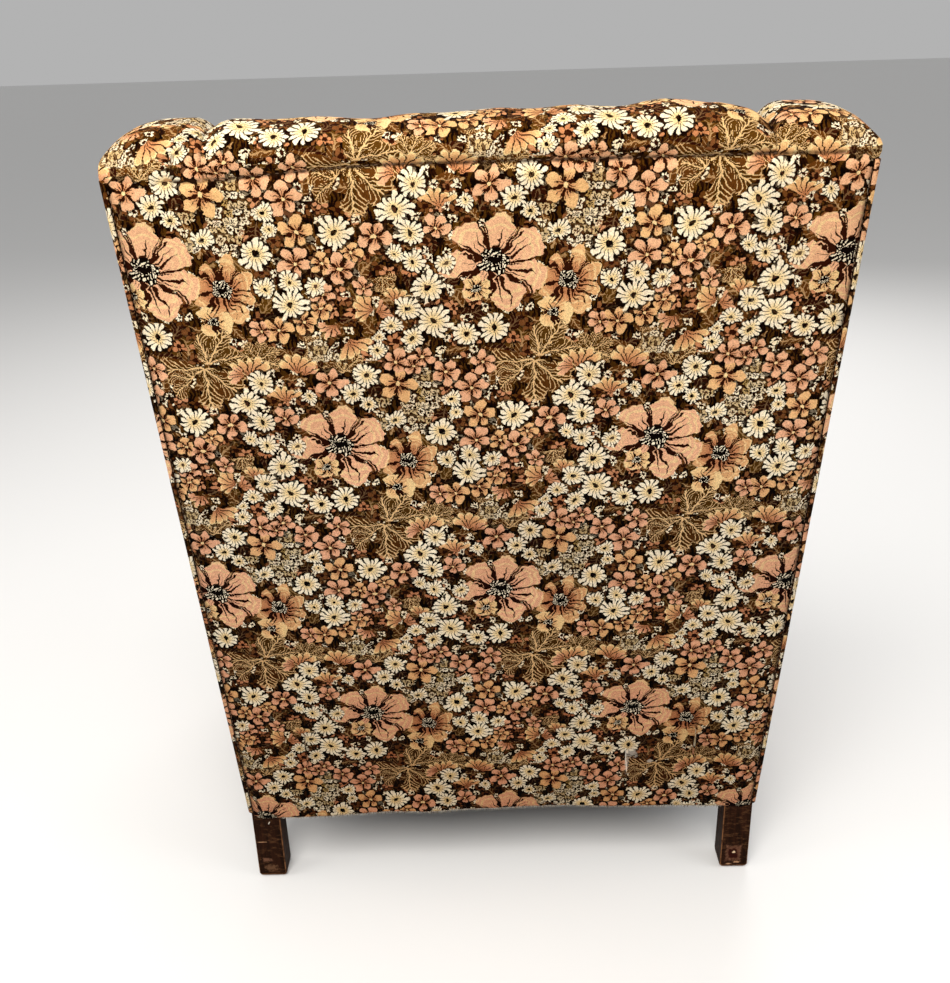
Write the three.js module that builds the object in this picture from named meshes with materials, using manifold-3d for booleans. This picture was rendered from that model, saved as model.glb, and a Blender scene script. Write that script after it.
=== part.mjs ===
// A high-backed wing armchair with a hardwood frame, zigzag seat springs, webbed back and padded covers.
// Millimetres, +Z up. The sitter faces -Y, so left is +X. The chair stands on Z = 0, centred on the origin.
import * as THREE from 'three';
import { mergeVertices } from 'three/addons/utils/BufferGeometryUtils.js';
import Module from 'manifold-3d';

const wasm = await Module();
wasm.setup();

// Rest of the frame is laid out from the hem of the outside back: Y = 0 there, and the front is negative.
const GAP = 0.3; // running gap between touching pieces
const LEG_HEIGHT = 118; // floor to the hem of the covers
const BACK_RAKE = THREE.MathUtils.degToRad(10);
const LEG_RAKE = THREE.MathUtils.degToRad(3);
const FRAME_WIDTH = 722; // over the outer faces of the posts
const FRAME_DEPTH = 600; // rear hem to the front face of the front posts
const COVER = 2.5; // thickness of a stretched cover with its hessian
const FLARE = 0.017 / 900; // the chair widens by this share per millimetre of height above the hem

// Outside back, measured up the raked rear surface from the hem
const SEAM_LENGTH = 910; // hem to the seam under the crest
const CREST_RISE = 42; // seam to the top of the inside back
const WING_RISE = 40; // seam to the top of a wing

// Timber
const POST_WIDTH = 40;
const POST_DEPTH = 42;
const FOOT_DEPTH = 38;
const FOOT_CHAMFER = 3;
const FRONT_POST = 45;
const FRONT_FOOT = 36;
const RAIL_HEIGHT = 92;
const RAIL_THICK = 25;
const RAIL_LIFT = 2; // hem to the underside of the seat rails
const TENON_LENGTH = 20;
const TENON_THICK = 10;
const TENON_SHOULDER = 14;
const BACK_RAIL_THICK = 35;
const CREST_RAIL_HEIGHT = 65;
const TACK_RAIL_START = 172; // hem to the underside of the lower back rail, up the rake
const TACK_RAIL_HEIGHT = 45;
const ARM_RAIL_HEIGHT = 520; // floor to the underside
const ARM_RAIL_THICK = 28;
const ARM_RAIL_WIDTH = 60;
const WING_BOARD_THICK = 22;
const CORNER_BLOCK = 85;
const CORNER_BLOCK_HEIGHT = 40;

// Seat springs, back webbing and bottom cloth
const SPRING_COUNT = 5;
const SPRING_WIRE = 3.8;
const SPRING_HALF_WIDTH = 24;
const SPRING_WAVES = 11;
const SPRING_END_INSET = 13; // from the outer face of a rail to the wire's end bar
const SPRING_SAG = 20;
const CLIP_PLATE = 1.4;
const CLIP_WIDTH = 15;
const CLIP_TAIL = 10;
const UPPER_STRAPS = 3; // straps above the arm rails, with one more below them
const WEBBING_WIDTH = 50;
const WEBBING_THICK = 2.5;
const WEBBING_OVERLAP = 14; // held on each post
const DUST_CLOTH = 1.4;

// Padding and covers
const ARM_WIDTH = 95;
const ARM_PAD = 52; // padding over the arm rail
const ARM_ROUND = 32;
const WING_REACH = 226; // back webbing to the front edge of a wing, at the arm
const WING_TOP_DEPTH = 78; // rear surface to where a wing's top edge turns down
const WING_WRAP = 24; // padding round the edge of a wing board
const WING_ROUND_WIDTH = 77;
const WING_ROUND_HEIGHT = 47;
const WING_SOFT_EDGE = 22;
const PANEL_INSET = 34; // edge of a side cover in from the edge of the wing
const ARM_ROLL_DROP = 40; // side cover's edge below the top of the arm
const BACK_PAD_DEPTH = 118;
const LUMBAR_DEPTH = 20;
const BACK_PAD_START = 164;
const LUMBAR_RISE = 190; // foot of the inside back to the fullest part of its lower swell
const BEYOND = 200; // cutting solids run this far past the chair
const DECK_THICK = 58;
const DECK_LIFT = 9; // rail top to the underside of the deck, over the clips
const FACING_THICK = 12;
const CUSHION_THICK = 132;
const CUSHION_SAG = 26;
const CUSHION_OVERHANG = 10;
const CUSHION_EDGE = 34;

// Places worked out from the sizes
const sideX = FRAME_WIDTH / 2;
const coverX = sideX + GAP + COVER;
const postInnerX = sideX - POST_WIDTH;
const frontY = -FRAME_DEPTH;
const railBottomZ = LEG_HEIGHT + RAIL_LIFT;
const railTopZ = railBottomZ + RAIL_HEIGHT;
const postRearDepth = COVER + GAP;
const postFrontDepth = postRearDepth + POST_DEPTH;
const padRearDepth = postFrontDepth + WEBBING_THICK + 2 * GAP;
const crestLength = SEAM_LENGTH + CREST_RISE;
const wingLength = SEAM_LENGTH + WING_RISE;
const armRailTopZ = ARM_RAIL_HEIGHT + ARM_RAIL_THICK;
const armTopZ = armRailTopZ + GAP + ARM_PAD;
const armInnerX = sideX - ARM_WIDTH;
const seatHalfX = armInnerX - GAP;
const deckBottomZ = railTopZ + DECK_LIFT;
const deckTopZ = deckBottomZ + DECK_THICK;

const WOOD = new THREE.MeshStandardMaterial({ color: 0x3a2616, roughness: 0.55, metalness: 0 });
const BEECH = new THREE.MeshStandardMaterial({ color: 0xa98258, roughness: 0.75, metalness: 0 });
const TAPESTRY = new THREE.MeshStandardMaterial({ color: 0x8d6a4a, roughness: 0.95, metalness: 0 });
const HESSIAN = new THREE.MeshStandardMaterial({ color: 0xa88d62, roughness: 0.95, metalness: 0 });
const BLACK_CLOTH = new THREE.MeshStandardMaterial({ color: 0x1d1a18, roughness: 0.95, metalness: 0 });
const STEEL = new THREE.MeshStandardMaterial({ color: 0x6f6a62, roughness: 0.45, metalness: 0.9 });

const chair = new THREE.Group();

function add(name, geometry, material) {
  const mesh = new THREE.Mesh(flared(geometry), material);
  mesh.name = name;
  chair.add(mesh);
}

function flared(geometry) {
  const position = geometry.attributes.position;
  for (let i = 0; i < position.count; i += 1) {
    position.setX(i, position.getX(i) * (1 + FLARE * (position.getZ(i) - LEG_HEIGHT)));
  }
  return geometry;
}

function addPair(name, geometry, material) {
  add(`${name}_right`, mirrored(geometry), material);
  add(`${name}_left`, geometry, material);
}

// Helpers for solids

function merged(geometry) {
  const bare = geometry.clone();
  bare.deleteAttribute('normal');
  bare.deleteAttribute('uv');
  return mergeVertices(bare, 1e-4);
}

function toSolid(geometry) {
  const closed = merged(geometry);
  return new wasm.Manifold(new wasm.Mesh({
    numProp: 3,
    vertProperties: new Float32Array(closed.attributes.position.array),
    triVerts: new Uint32Array(closed.index.array),
  }));
}

function fromSolid(solid) {
  const { vertProperties, triVerts } = solid.getMesh();
  const geometry = new THREE.BufferGeometry();
  geometry.setAttribute('position', new THREE.BufferAttribute(new Float32Array(vertProperties), 3));
  geometry.setIndex(new THREE.BufferAttribute(new Uint32Array(triVerts), 1));
  return geometry;
}

function cut(geometry, tools) {
  return fromSolid(tools.reduce((solid, tool) => solid.subtract(toSolid(tool)), toSolid(geometry)));
}

function joined(geometries) {
  return fromSolid(geometries.map(toSolid).reduce((all, solid) => all.add(solid)));
}

function mirrored(geometry) {
  const copy = merged(geometry);
  copy.scale(-1, 1, 1);
  const index = copy.index.array;
  for (let i = 0; i < index.length; i += 3) {
    [index[i + 1], index[i + 2]] = [index[i + 2], index[i + 1]];
  }
  return copy;
}

function block(x0, x1, y0, y1, z0, z1) {
  const geometry = new THREE.BoxGeometry(x1 - x0, y1 - y0, z1 - z0);
  return geometry.translate((x0 + x1) / 2, (y0 + y1) / 2, (z0 + z1) / 2);
}

// A side profile, points of (Y, Z), extruded across the chair from x0 to x1
function acrossChair(profile, x0, x1) {
  const geometry = new THREE.ExtrudeGeometry(new THREE.Shape(profile), { depth: x1 - x0, bevelEnabled: false });
  const turn = new THREE.Matrix4().makeBasis(
    new THREE.Vector3(0, 1, 0), new THREE.Vector3(0, 0, 1), new THREE.Vector3(1, 0, 0));
  return geometry.applyMatrix4(turn).translate(x0, 0, 0);
}

// A front profile, points of (X, Z), extruded forwards from yRear to yFront
function alongChair(shape, yRear, yFront) {
  const geometry = new THREE.ExtrudeGeometry(shape, { depth: yRear - yFront, bevelEnabled: false, curveSegments: 6 });
  const turn = new THREE.Matrix4().makeBasis(
    new THREE.Vector3(1, 0, 0), new THREE.Vector3(0, 0, 1), new THREE.Vector3(0, -1, 0));
  return geometry.applyMatrix4(turn).translate(0, yRear, 0);
}

// Side profiles with matching points, counter-clockwise in (Y, Z), joined into one skin across the chair
function loft(sections) {
  const count = sections[0].profile.length;
  const position = sections.flatMap(({ x, profile }) => profile.flatMap((p) => [x, p.x, p.y]));
  const index = [];
  for (let s = 0; s + 1 < sections.length; s += 1) {
    for (let i = 0; i < count; i += 1) {
      const a = s * count + i;
      const b = s * count + (i + 1) % count;
      index.push(a, b, b + count, a, b + count, a + count);
    }
  }
  const last = (sections.length - 1) * count;
  for (const [a, b, c] of THREE.ShapeUtils.triangulateShape(sections[0].profile, [])) {
    index.push(a, c, b);
  }
  for (const [a, b, c] of THREE.ShapeUtils.triangulateShape(sections.at(-1).profile, [])) {
    index.push(last + a, last + b, last + c);
  }
  const geometry = new THREE.BufferGeometry();
  geometry.setAttribute('position', new THREE.Float32BufferAttribute(position, 3));
  geometry.setIndex(index);
  return geometry;
}

// A point of a side profile, given up the raked back from the hem and forwards from its rear surface
function onBack(up, depth) {
  return new THREE.Vector2(
    up * Math.sin(BACK_RAKE) - depth * Math.cos(BACK_RAKE),
    LEG_HEIGHT + up * Math.cos(BACK_RAKE) + depth * Math.sin(BACK_RAKE));
}

// The point of the raked plane at one depth that lies at height z
function onBackAtHeight(z, depth) {
  return onBack((z - LEG_HEIGHT - depth * Math.sin(BACK_RAKE)) / Math.cos(BACK_RAKE), depth);
}

function backBar(upStart, upEnd, depthStart, depthEnd, x0, x1) {
  const profile = [
    onBack(upStart, depthEnd), onBack(upStart, depthStart), onBack(upEnd, depthStart), onBack(upEnd, depthEnd)];
  return acrossChair(profile, x0, x1);
}

// Timber frame

// Seat rails are jointed to the posts by tenons; a mortise is the same bar with the gap round it
function seatTenon(clear) {
  return { z0: railBottomZ + TENON_SHOULDER - clear, z1: railTopZ - TENON_SHOULDER + clear, grow: clear };
}

const rearRailY = onBackAtHeight(railBottomZ, postRearDepth).x; // rear face of the rear seat rail, at its foot
const sideRailX = sideX - RAIL_THICK;
const sideTenonX = sideRailX + (RAIL_THICK - TENON_THICK) / 2;
const rearPostFrontY = onBackAtHeight(railTopZ, postFrontDepth).x - POST_DEPTH * Math.tan(BACK_RAKE);
const frontPostRearY = frontY + FRONT_POST;

function sideRailTenon(clear) {
  const { z0, z1 } = seatTenon(clear);
  const y0 = frontPostRearY - TENON_LENGTH - clear;
  const y1 = rearPostFrontY + TENON_LENGTH + clear;
  return block(sideTenonX - clear, sideTenonX + TENON_THICK + clear, y0, y1, z0, z1);
}

function crossRailTenon(y0, halfSpan, clear) {
  const { z0, z1 } = seatTenon(clear);
  const tenonY = y0 + (RAIL_THICK - TENON_THICK) / 2;
  const reach = halfSpan + TENON_LENGTH + clear;
  return block(-reach, reach, tenonY - clear, tenonY + TENON_THICK + clear, z0, z1);
}

const rearRailY0 = rearRailY - RAIL_THICK;
const frontRailY0 = frontY;
const frontPostInnerX = sideX - FRONT_POST;

function rearPostProfile(chamfer) {
  const hemRear = onBack(0, postRearDepth);
  const footRearY = hemRear.x + LEG_HEIGHT * Math.tan(LEG_RAKE);
  return [
    new THREE.Vector2(footRearY - FOOT_DEPTH + FOOT_CHAMFER, chamfer),
    new THREE.Vector2(footRearY - FOOT_CHAMFER, chamfer),
    new THREE.Vector2(footRearY, FOOT_CHAMFER + chamfer),
    hemRear,
    onBack(SEAM_LENGTH, postRearDepth),
    onBack(SEAM_LENGTH, postFrontDepth),
    onBackAtHeight(railTopZ + POST_DEPTH, postFrontDepth),
    new THREE.Vector2(rearPostFrontY, railTopZ),
    new THREE.Vector2(rearPostFrontY, railBottomZ),
    new THREE.Vector2(footRearY - FOOT_DEPTH, FOOT_CHAMFER + chamfer),
  ];
}

function crestTenon(clear, halfSpan) {
  const reach = halfSpan + TENON_LENGTH + clear;
  const start = postRearDepth + (BACK_RAIL_THICK - TENON_THICK) / 2;
  return backBar(
    SEAM_LENGTH - CREST_RAIL_HEIGHT + TENON_SHOULDER - clear, SEAM_LENGTH - TENON_SHOULDER + clear,
    start - clear, start + TENON_THICK + clear, -reach, reach);
}

function tackTenon(clear, halfSpan) {
  const reach = halfSpan + TENON_LENGTH + clear;
  const start = postRearDepth + (BACK_RAIL_THICK - TENON_THICK) / 2;
  return backBar(
    TACK_RAIL_START + TENON_SHOULDER - clear, TACK_RAIL_START + TACK_RAIL_HEIGHT - TENON_SHOULDER + clear,
    start - clear, start + TENON_THICK + clear, -reach, reach);
}

const backRailHalf = postInnerX - GAP;
const frontRailHalf = frontPostInnerX - GAP;

function rearPost() {
  const body = loft([
    { x: postInnerX, profile: rearPostProfile(FOOT_CHAMFER) },
    { x: postInnerX + FOOT_CHAMFER, profile: rearPostProfile(0) },
    { x: sideX - FOOT_CHAMFER, profile: rearPostProfile(0) },
    { x: sideX, profile: rearPostProfile(FOOT_CHAMFER) },
  ]);
  return cut(body, [
    sideRailTenon(GAP),
    crossRailTenon(rearRailY0, backRailHalf, GAP),
    crestTenon(GAP, backRailHalf),
    tackTenon(GAP, backRailHalf),
  ]);
}

// Front posts run from the floor to the arm rail and taper below the seat rails
function frontPostProfile(inset, chamfer) {
  const foot = frontY + (FRONT_POST - FRONT_FOOT) / 2;
  return [
    new THREE.Vector2(foot + FOOT_CHAMFER, chamfer),
    new THREE.Vector2(foot + FRONT_FOOT - FOOT_CHAMFER, chamfer),
    new THREE.Vector2(foot + FRONT_FOOT, FOOT_CHAMFER + chamfer),
    new THREE.Vector2(frontPostRearY, railBottomZ),
    new THREE.Vector2(frontPostRearY, ARM_RAIL_HEIGHT - GAP),
    new THREE.Vector2(frontY, ARM_RAIL_HEIGHT - GAP),
    new THREE.Vector2(frontY, railBottomZ),
    new THREE.Vector2(foot, FOOT_CHAMFER + chamfer),
  ];
}

// The sides of a front post narrow towards the foot, as its front and rear do
function taperedFoot(geometry) {
  const centre = sideX - FRONT_POST / 2;
  const narrow = FRONT_FOOT / FRONT_POST;
  const position = geometry.attributes.position;
  for (let i = 0; i < position.count; i += 1) {
    const share = THREE.MathUtils.clamp(position.getZ(i) / railBottomZ, 0, 1);
    const scale = narrow + (1 - narrow) * share;
    position.setX(i, centre + (position.getX(i) - centre) * scale);
  }
  return geometry;
}

function armRailTenon(clear) {
  const x = sideX - FRONT_POST / 2;
  const y = frontY + FRONT_POST / 2;
  const half = TENON_THICK + clear;
  return block(x - half, x + half, y - half, y + half, ARM_RAIL_HEIGHT - TENON_LENGTH, ARM_RAIL_HEIGHT + TENON_LENGTH + clear);
}

function frontPost() {
  const body = taperedFoot(loft([
    { x: frontPostInnerX, profile: frontPostProfile(0, FOOT_CHAMFER) },
    { x: frontPostInnerX + FOOT_CHAMFER, profile: frontPostProfile(0, 0) },
    { x: sideX - FOOT_CHAMFER, profile: frontPostProfile(0, 0) },
    { x: sideX, profile: frontPostProfile(0, FOOT_CHAMFER) },
  ]));
  const hollowed = cut(body, [sideRailTenon(GAP), crossRailTenon(frontRailY0, frontRailHalf, GAP)]);
  return joined([hollowed, armRailTenon(0)]);
}

function sideRail() {
  const bar = block(sideRailX, sideX, frontPostRearY + GAP, rearPostFrontY - GAP, railBottomZ, railTopZ);
  return joined([bar, sideRailTenon(0)]);
}

function crossRail(y0, halfSpan) {
  const bar = block(-halfSpan, halfSpan, y0, y0 + RAIL_THICK, railBottomZ, railTopZ);
  return joined([bar, crossRailTenon(y0, halfSpan, 0)]);
}

function crestRail() {
  const bar = backBar(SEAM_LENGTH - CREST_RAIL_HEIGHT, SEAM_LENGTH,
    postRearDepth, postRearDepth + BACK_RAIL_THICK, -backRailHalf, backRailHalf);
  return joined([bar, crestTenon(0, backRailHalf)]);
}

function tackRail() {
  const bar = backBar(TACK_RAIL_START, TACK_RAIL_START + TACK_RAIL_HEIGHT,
    postRearDepth, postRearDepth + BACK_RAIL_THICK, -backRailHalf, backRailHalf);
  return joined([bar, tackTenon(0, backRailHalf)]);
}

function armRail(clear = 0) {
  const profile = [
    new THREE.Vector2(frontY - clear, ARM_RAIL_HEIGHT - clear),
    onBackAtHeight(ARM_RAIL_HEIGHT - clear, postFrontDepth + GAP - clear),
    onBackAtHeight(armRailTopZ + clear, postFrontDepth + GAP - clear),
    new THREE.Vector2(frontY - clear, armRailTopZ + clear),
  ];
  return acrossChair(profile, sideX - ARM_RAIL_WIDTH - clear, sideX + clear);
}

// The front edge of a wing, from the arm up and back to the turn at its top, drawn in from the padded edge
const WING_EDGE_STEPS = 9;

function wingEdge(inset, bottomZ) {
  const rear = onBackAtHeight(armTopZ, padRearDepth).x;
  const foot = new THREE.Vector2(rear - WING_REACH + inset, bottomZ);
  const head = onBack(wingLength - inset, WING_TOP_DEPTH);
  const rise = head.y - foot.y;
  const run = head.x - foot.x;
  const curve = new THREE.CubicBezierCurve(
    foot,
    new THREE.Vector2(foot.x - run * 0.02, foot.y + rise * 0.42),
    new THREE.Vector2(head.x - run * 0.62, head.y - rise * 0.06),
    head);
  return curve.getPoints(WING_EDGE_STEPS);
}

function wingBoardProfile(clear) {
  const rear = postFrontDepth + GAP - clear;
  const bottom = armRailTopZ + GAP - clear;
  return [
    onBackAtHeight(bottom, rear),
    onBack(SEAM_LENGTH - GAP + clear, rear),
    ...wingEdge(WING_WRAP - clear, bottom).reverse().slice(0, -1).map((p) => capped(p, clear)),
    new THREE.Vector2(wingEdge(WING_WRAP - clear, bottom)[0].x, bottom),
  ];
}

// Keeps the board's head under the top of the post it is screwed to
function capped(point, clear) {
  const reach = (point.y - LEG_HEIGHT) * Math.cos(BACK_RAKE) + point.x * Math.sin(BACK_RAKE);
  const over = Math.max(0, reach - (SEAM_LENGTH - GAP + clear));
  return new THREE.Vector2(point.x - over * Math.sin(BACK_RAKE), point.y - over * Math.cos(BACK_RAKE));
}

function wingBoard(clear, outerX) {
  return acrossChair(wingBoardProfile(clear), sideX - WING_BOARD_THICK - clear, outerX);
}

// Triangular glue blocks, notched round the post in each corner of the seat
function cornerBlock(cornerY, postHalfX, postY, direction) {
  const shape = new THREE.Shape([
    new THREE.Vector2(sideRailX - GAP, postY + direction * GAP),
    new THREE.Vector2(sideRailX - GAP, cornerY + direction * CORNER_BLOCK),
    new THREE.Vector2(sideRailX - GAP - 14, cornerY + direction * CORNER_BLOCK),
    new THREE.Vector2(sideRailX - CORNER_BLOCK, cornerY + direction * (GAP + 14)),
    new THREE.Vector2(sideRailX - CORNER_BLOCK, cornerY + direction * GAP),
    new THREE.Vector2(postHalfX - GAP, cornerY + direction * GAP),
    new THREE.Vector2(postHalfX - GAP, postY + direction * GAP),
  ]);
  const geometry = new THREE.ExtrudeGeometry(shape, { depth: CORNER_BLOCK_HEIGHT, bevelEnabled: false });
  return geometry.translate(0, 0, railBottomZ + GAP);
}

addPair('rear_leg_and_back_post', rearPost(), WOOD);
addPair('front_leg_and_arm_post', frontPost(), WOOD);
addPair('side_seat_rail', sideRail(), BEECH);
add('front_seat_rail', crossRail(frontRailY0, frontRailHalf), BEECH);
add('rear_seat_rail', crossRail(rearRailY0, backRailHalf), BEECH);
add('crest_rail', crestRail(), BEECH);
add('lower_back_rail', tackRail(), BEECH);
addPair('arm_rail', cut(armRail(), [armRailTenon(GAP)]), BEECH);
addPair('wing_board', wingBoard(0, sideX), BEECH);
addPair('front_corner_block', cornerBlock(frontRailY0 + RAIL_THICK, frontPostInnerX, frontPostRearY, 1), BEECH);
addPair('rear_corner_block', cornerBlock(rearRailY0, postInnerX, rearPostFrontY, -1), BEECH);

// Springs and webbing

const springFrontY = frontRailY0 + SPRING_END_INSET;
const springRearY = rearRailY0 + RAIL_THICK - SPRING_END_INSET;
const springMidY = (springFrontY + springRearY) / 2;
const springHalfY = (springRearY - springFrontY) / 2;
const springZ = railTopZ + CLIP_PLATE + 3.5 * GAP + SPRING_WIRE / 2;

// How far the old seat has sunk at a place, as a share of its deepest point
function sunk(x, y) {
  const across = THREE.MathUtils.clamp(1 - (x / seatHalfX) ** 2, 0, 1);
  const along = THREE.MathUtils.clamp(1 - ((y - springMidY) / (springHalfY - CLIP_TAIL - 2)) ** 2, 0, 1);
  return along * (0.35 + 0.65 * across);
}

class ZigzagWire extends THREE.Curve {
  constructor(centreX) {
    super();
    this.centreX = centreX;
  }

  getPoint(t, target = new THREE.Vector3()) {
    const tail = Math.PI * 0.2;
    const turns = 2 * Math.PI * SPRING_WAVES;
    const phase = -tail + t * (turns + 2 * tail);
    const squareness = 0.97;
    const advance = (phase - squareness * Math.sin(2 * phase) / 2) / turns;
    const x = this.centreX + SPRING_HALF_WIDTH * Math.sin(phase);
    const y = springFrontY + advance * (springRearY - springFrontY);
    return target.set(x, y, springZ - SPRING_SAG * sunk(x, y));
  }
}

function zigzagSpring(centreX) {
  const section = new THREE.Shape();
  section.absarc(0, 0, SPRING_WIRE / 2, 0, Math.PI * 2);
  const path = new ZigzagWire(centreX);
  return new THREE.ExtrudeGeometry(section, {
    extrudePath: path, steps: SPRING_WAVES * 8 + 4, curveSegments: 3, bevelEnabled: false });
}

// A folded steel clip: the base lies on the rail, and the fold wraps the end bar of a spring
function springClip(centreX, barY, towardsSeat) {
  const inner = SPRING_WIRE / 2 + 3 * GAP;
  const outer = inner + CLIP_PLATE;
  const shape = new THREE.Shape();
  const baseZ = railTopZ + GAP / 2;
  shape.moveTo(CLIP_TAIL, baseZ);
  shape.lineTo(CLIP_TAIL, baseZ + CLIP_PLATE);
  shape.lineTo(0, baseZ + CLIP_PLATE);
  shape.absarc(0, baseZ + CLIP_PLATE + inner, inner, -Math.PI / 2, Math.PI / 2, true);
  shape.lineTo(CLIP_TAIL * 0.6, baseZ + CLIP_PLATE + 2 * inner);
  shape.lineTo(CLIP_TAIL * 0.6, baseZ + 2 * CLIP_PLATE + 2 * inner);
  shape.lineTo(0, baseZ + 2 * CLIP_PLATE + 2 * inner);
  shape.absarc(0, baseZ + CLIP_PLATE + inner, outer, Math.PI / 2, -Math.PI / 2, false);
  const geometry = new THREE.ExtrudeGeometry(shape, { depth: CLIP_WIDTH, bevelEnabled: false, curveSegments: 5 });
  const side = towardsSeat ? 1 : -1;
  const turn = new THREE.Matrix4().makeBasis(
    new THREE.Vector3(0, side, 0), new THREE.Vector3(0, 0, 1), new THREE.Vector3(side, 0, 0));
  return geometry.applyMatrix4(turn).translate(centreX - side * CLIP_WIDTH / 2, barY, 0);
}

const springPitch = 2 * seatHalfX / SPRING_COUNT;
for (let i = 0; i < SPRING_COUNT; i += 1) {
  const x = (i - (SPRING_COUNT - 1) / 2) * springPitch;
  add(`seat_spring_${i + 1}`, zigzagSpring(x), STEEL);
  add(`front_spring_clip_${i + 1}`, springClip(x, springFrontY, true), STEEL);
  add(`rear_spring_clip_${i + 1}`, springClip(x, springRearY, false), STEEL);
}

// How far up the rake the front faces of the posts reach a height
function upPost(z) {
  return (z - LEG_HEIGHT - postFrontDepth * Math.sin(BACK_RAKE)) / Math.cos(BACK_RAKE);
}

function strapCentres() {
  const low = (TACK_RAIL_START + TACK_RAIL_HEIGHT + upPost(ARM_RAIL_HEIGHT)) / 2;
  const start = upPost(armRailTopZ);
  const pitch = (SEAM_LENGTH - CREST_RAIL_HEIGHT - start) / UPPER_STRAPS;
  return [low, ...Array.from({ length: UPPER_STRAPS }, (_, i) => start + (i + 0.5) * pitch)];
}

strapCentres().forEach((centre, i) => {
  const reach = postInnerX + WEBBING_OVERLAP;
  const strap = backBar(centre - WEBBING_WIDTH / 2, centre + WEBBING_WIDTH / 2,
    postFrontDepth + GAP, postFrontDepth + GAP + WEBBING_THICK, -reach, reach);
  add(`back_webbing_${i + 1}`, strap, HESSIAN);
});

// Covers and padding

function backPanel() {
  return backBar(0, SEAM_LENGTH - GAP, 0, COVER, -coverX, coverX);
}

function sidePanelProfile(clear) {
  const inset = PANEL_INSET - clear;
  const foot = armTopZ;
  const rollZ = armTopZ - ARM_ROLL_DROP + clear;
  const edge = wingEdge(inset, foot);
  return [
    onBackAtHeight(LEG_HEIGHT - clear, postRearDepth - clear),
    onBack(SEAM_LENGTH - GAP, postRearDepth - clear),
    ...edge.reverse().map((p) => capped(p, 0)),
    new THREE.Vector2(edge.at(-1).x, rollZ),
    new THREE.Vector2(frontY - clear, rollZ),
    new THREE.Vector2(frontY - clear, LEG_HEIGHT - clear),
  ];
}

function sidePanel(clear, outerX) {
  return acrossChair(sidePanelProfile(clear), sideX + GAP - clear, outerX);
}

// Everything behind the webbing, which the pads keep clear of
function behindWebbing(x0, x1) {
  const profile = [
    onBack(-BEYOND, padRearDepth), onBack(-BEYOND, -BEYOND), onBack(SEAM_LENGTH + GAP, -BEYOND),
    onBack(SEAM_LENGTH + GAP, padRearDepth)];
  return acrossChair(profile, x0, x1);
}

// A wing pad hooks over the head of its post, and its edges are drawn in where the cover rounds them
function wingPadProfile(inset) {
  const bottom = armTopZ + GAP;
  const seam = SEAM_LENGTH + GAP;
  const top = wingLength - inset;
  const crown = (top - seam) * 0.85;
  const rearRound = [0, 1, 2, 3, 4].map((i) => {
    const angle = i * Math.PI / 8;
    return onBack(top - crown * (1 - Math.sin(angle)), crown * (1 - Math.cos(angle)));
  });
  return [
    onBackAtHeight(bottom, padRearDepth),
    onBack(seam, padRearDepth),
    onBack(seam, 0),
    ...rearRound,
    ...wingEdge(inset, bottom).reverse(),
  ];
}

function wingPad() {
  const rounded = (x) => {
    const inward = THREE.MathUtils.clamp((armInnerX + WING_SOFT_EDGE - x) / WING_SOFT_EDGE, 0, 1);
    const outward = THREE.MathUtils.clamp((x - (coverX - WING_ROUND_WIDTH + 6)) / WING_ROUND_WIDTH, 0, 1);
    return WING_SOFT_EDGE * (1 - Math.sqrt(1 - inward ** 2))
      + WING_ROUND_HEIGHT * (1 - Math.sqrt(1 - outward ** 2));
  };
  const stations = [0, 0.02, 0.07, 0.15, 0.26, 0.42, 0.58, 0.72, 0.83, 0.92, 1];
  const body = loft(stations.map((share) => {
    const x = armInnerX + share * (coverX - armInnerX);
    return { x, profile: wingPadProfile(rounded(x)) };
  }));
  return cut(body, [wingBoard(GAP, coverX + 1), sidePanel(GAP, coverX + 1)]);
}

function armPad() {
  const shape = new THREE.Shape();
  shape.moveTo(armInnerX, railTopZ + GAP);
  shape.lineTo(coverX, railTopZ + GAP);
  shape.lineTo(coverX, armTopZ - ARM_ROUND);
  shape.absarc(coverX - ARM_ROUND, armTopZ - ARM_ROUND, ARM_ROUND, 0, Math.PI / 2);
  shape.absarc(armInnerX + ARM_ROUND, armTopZ - ARM_ROUND, ARM_ROUND, Math.PI / 2, Math.PI);
  const rearY = onBackAtHeight(armTopZ, padRearDepth).x;
  const solidArm = alongChair(shape, rearY, frontY);
  const hollow = block(sideX - ARM_RAIL_WIDTH - GAP, coverX + 1, frontY - 1, rearY + 1, railTopZ - 1, armRailTopZ + GAP);
  return cut(solidArm, [hollow, behindWebbing(armInnerX - 1, coverX + 1), wingBoard(GAP, coverX + 1), sidePanel(GAP, coverX + 1)]);
}

// The inside back stands in front of the webbing and rolls over the crest rail to the seam
function backPadProfile(x) {
  const wave = 4 * Math.sin(x / 46) + 3 * Math.sin(x / 27 + 1);
  const top = crestLength + wave * 0.6;
  const seam = SEAM_LENGTH + GAP;
  const front = BACK_PAD_DEPTH;
  const round = top - seam;
  const side = (x / seatHalfX) ** 4;
  const soft = 12 * side;
  return [
    onBack(BACK_PAD_START, padRearDepth),
    onBack(seam, padRearDepth),
    onBack(seam, 0),
    onBack(seam + round * 0.55, 1),
    onBack(seam + round * 0.86, 11),
    onBack(top, 32),
    onBack(top, 62),
    onBack(top - 14, front - 26 - soft),
    onBack(top - 46, front - 4 - soft),
    onBack(top - 120, front - soft),
    onBack((BACK_PAD_START + top) * 0.6, front - soft),
    onBack((BACK_PAD_START + top) * 0.45, front + LUMBAR_DEPTH * 0.4 - soft),
    onBack(BACK_PAD_START + LUMBAR_RISE, front + LUMBAR_DEPTH - soft),
    onBack(BACK_PAD_START + LUMBAR_RISE / 2, front + LUMBAR_DEPTH * 0.8 - soft),
    onBack(BACK_PAD_START + 26, front - soft),
    onBack(BACK_PAD_START, front - 22 - soft),
  ];
}

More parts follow.
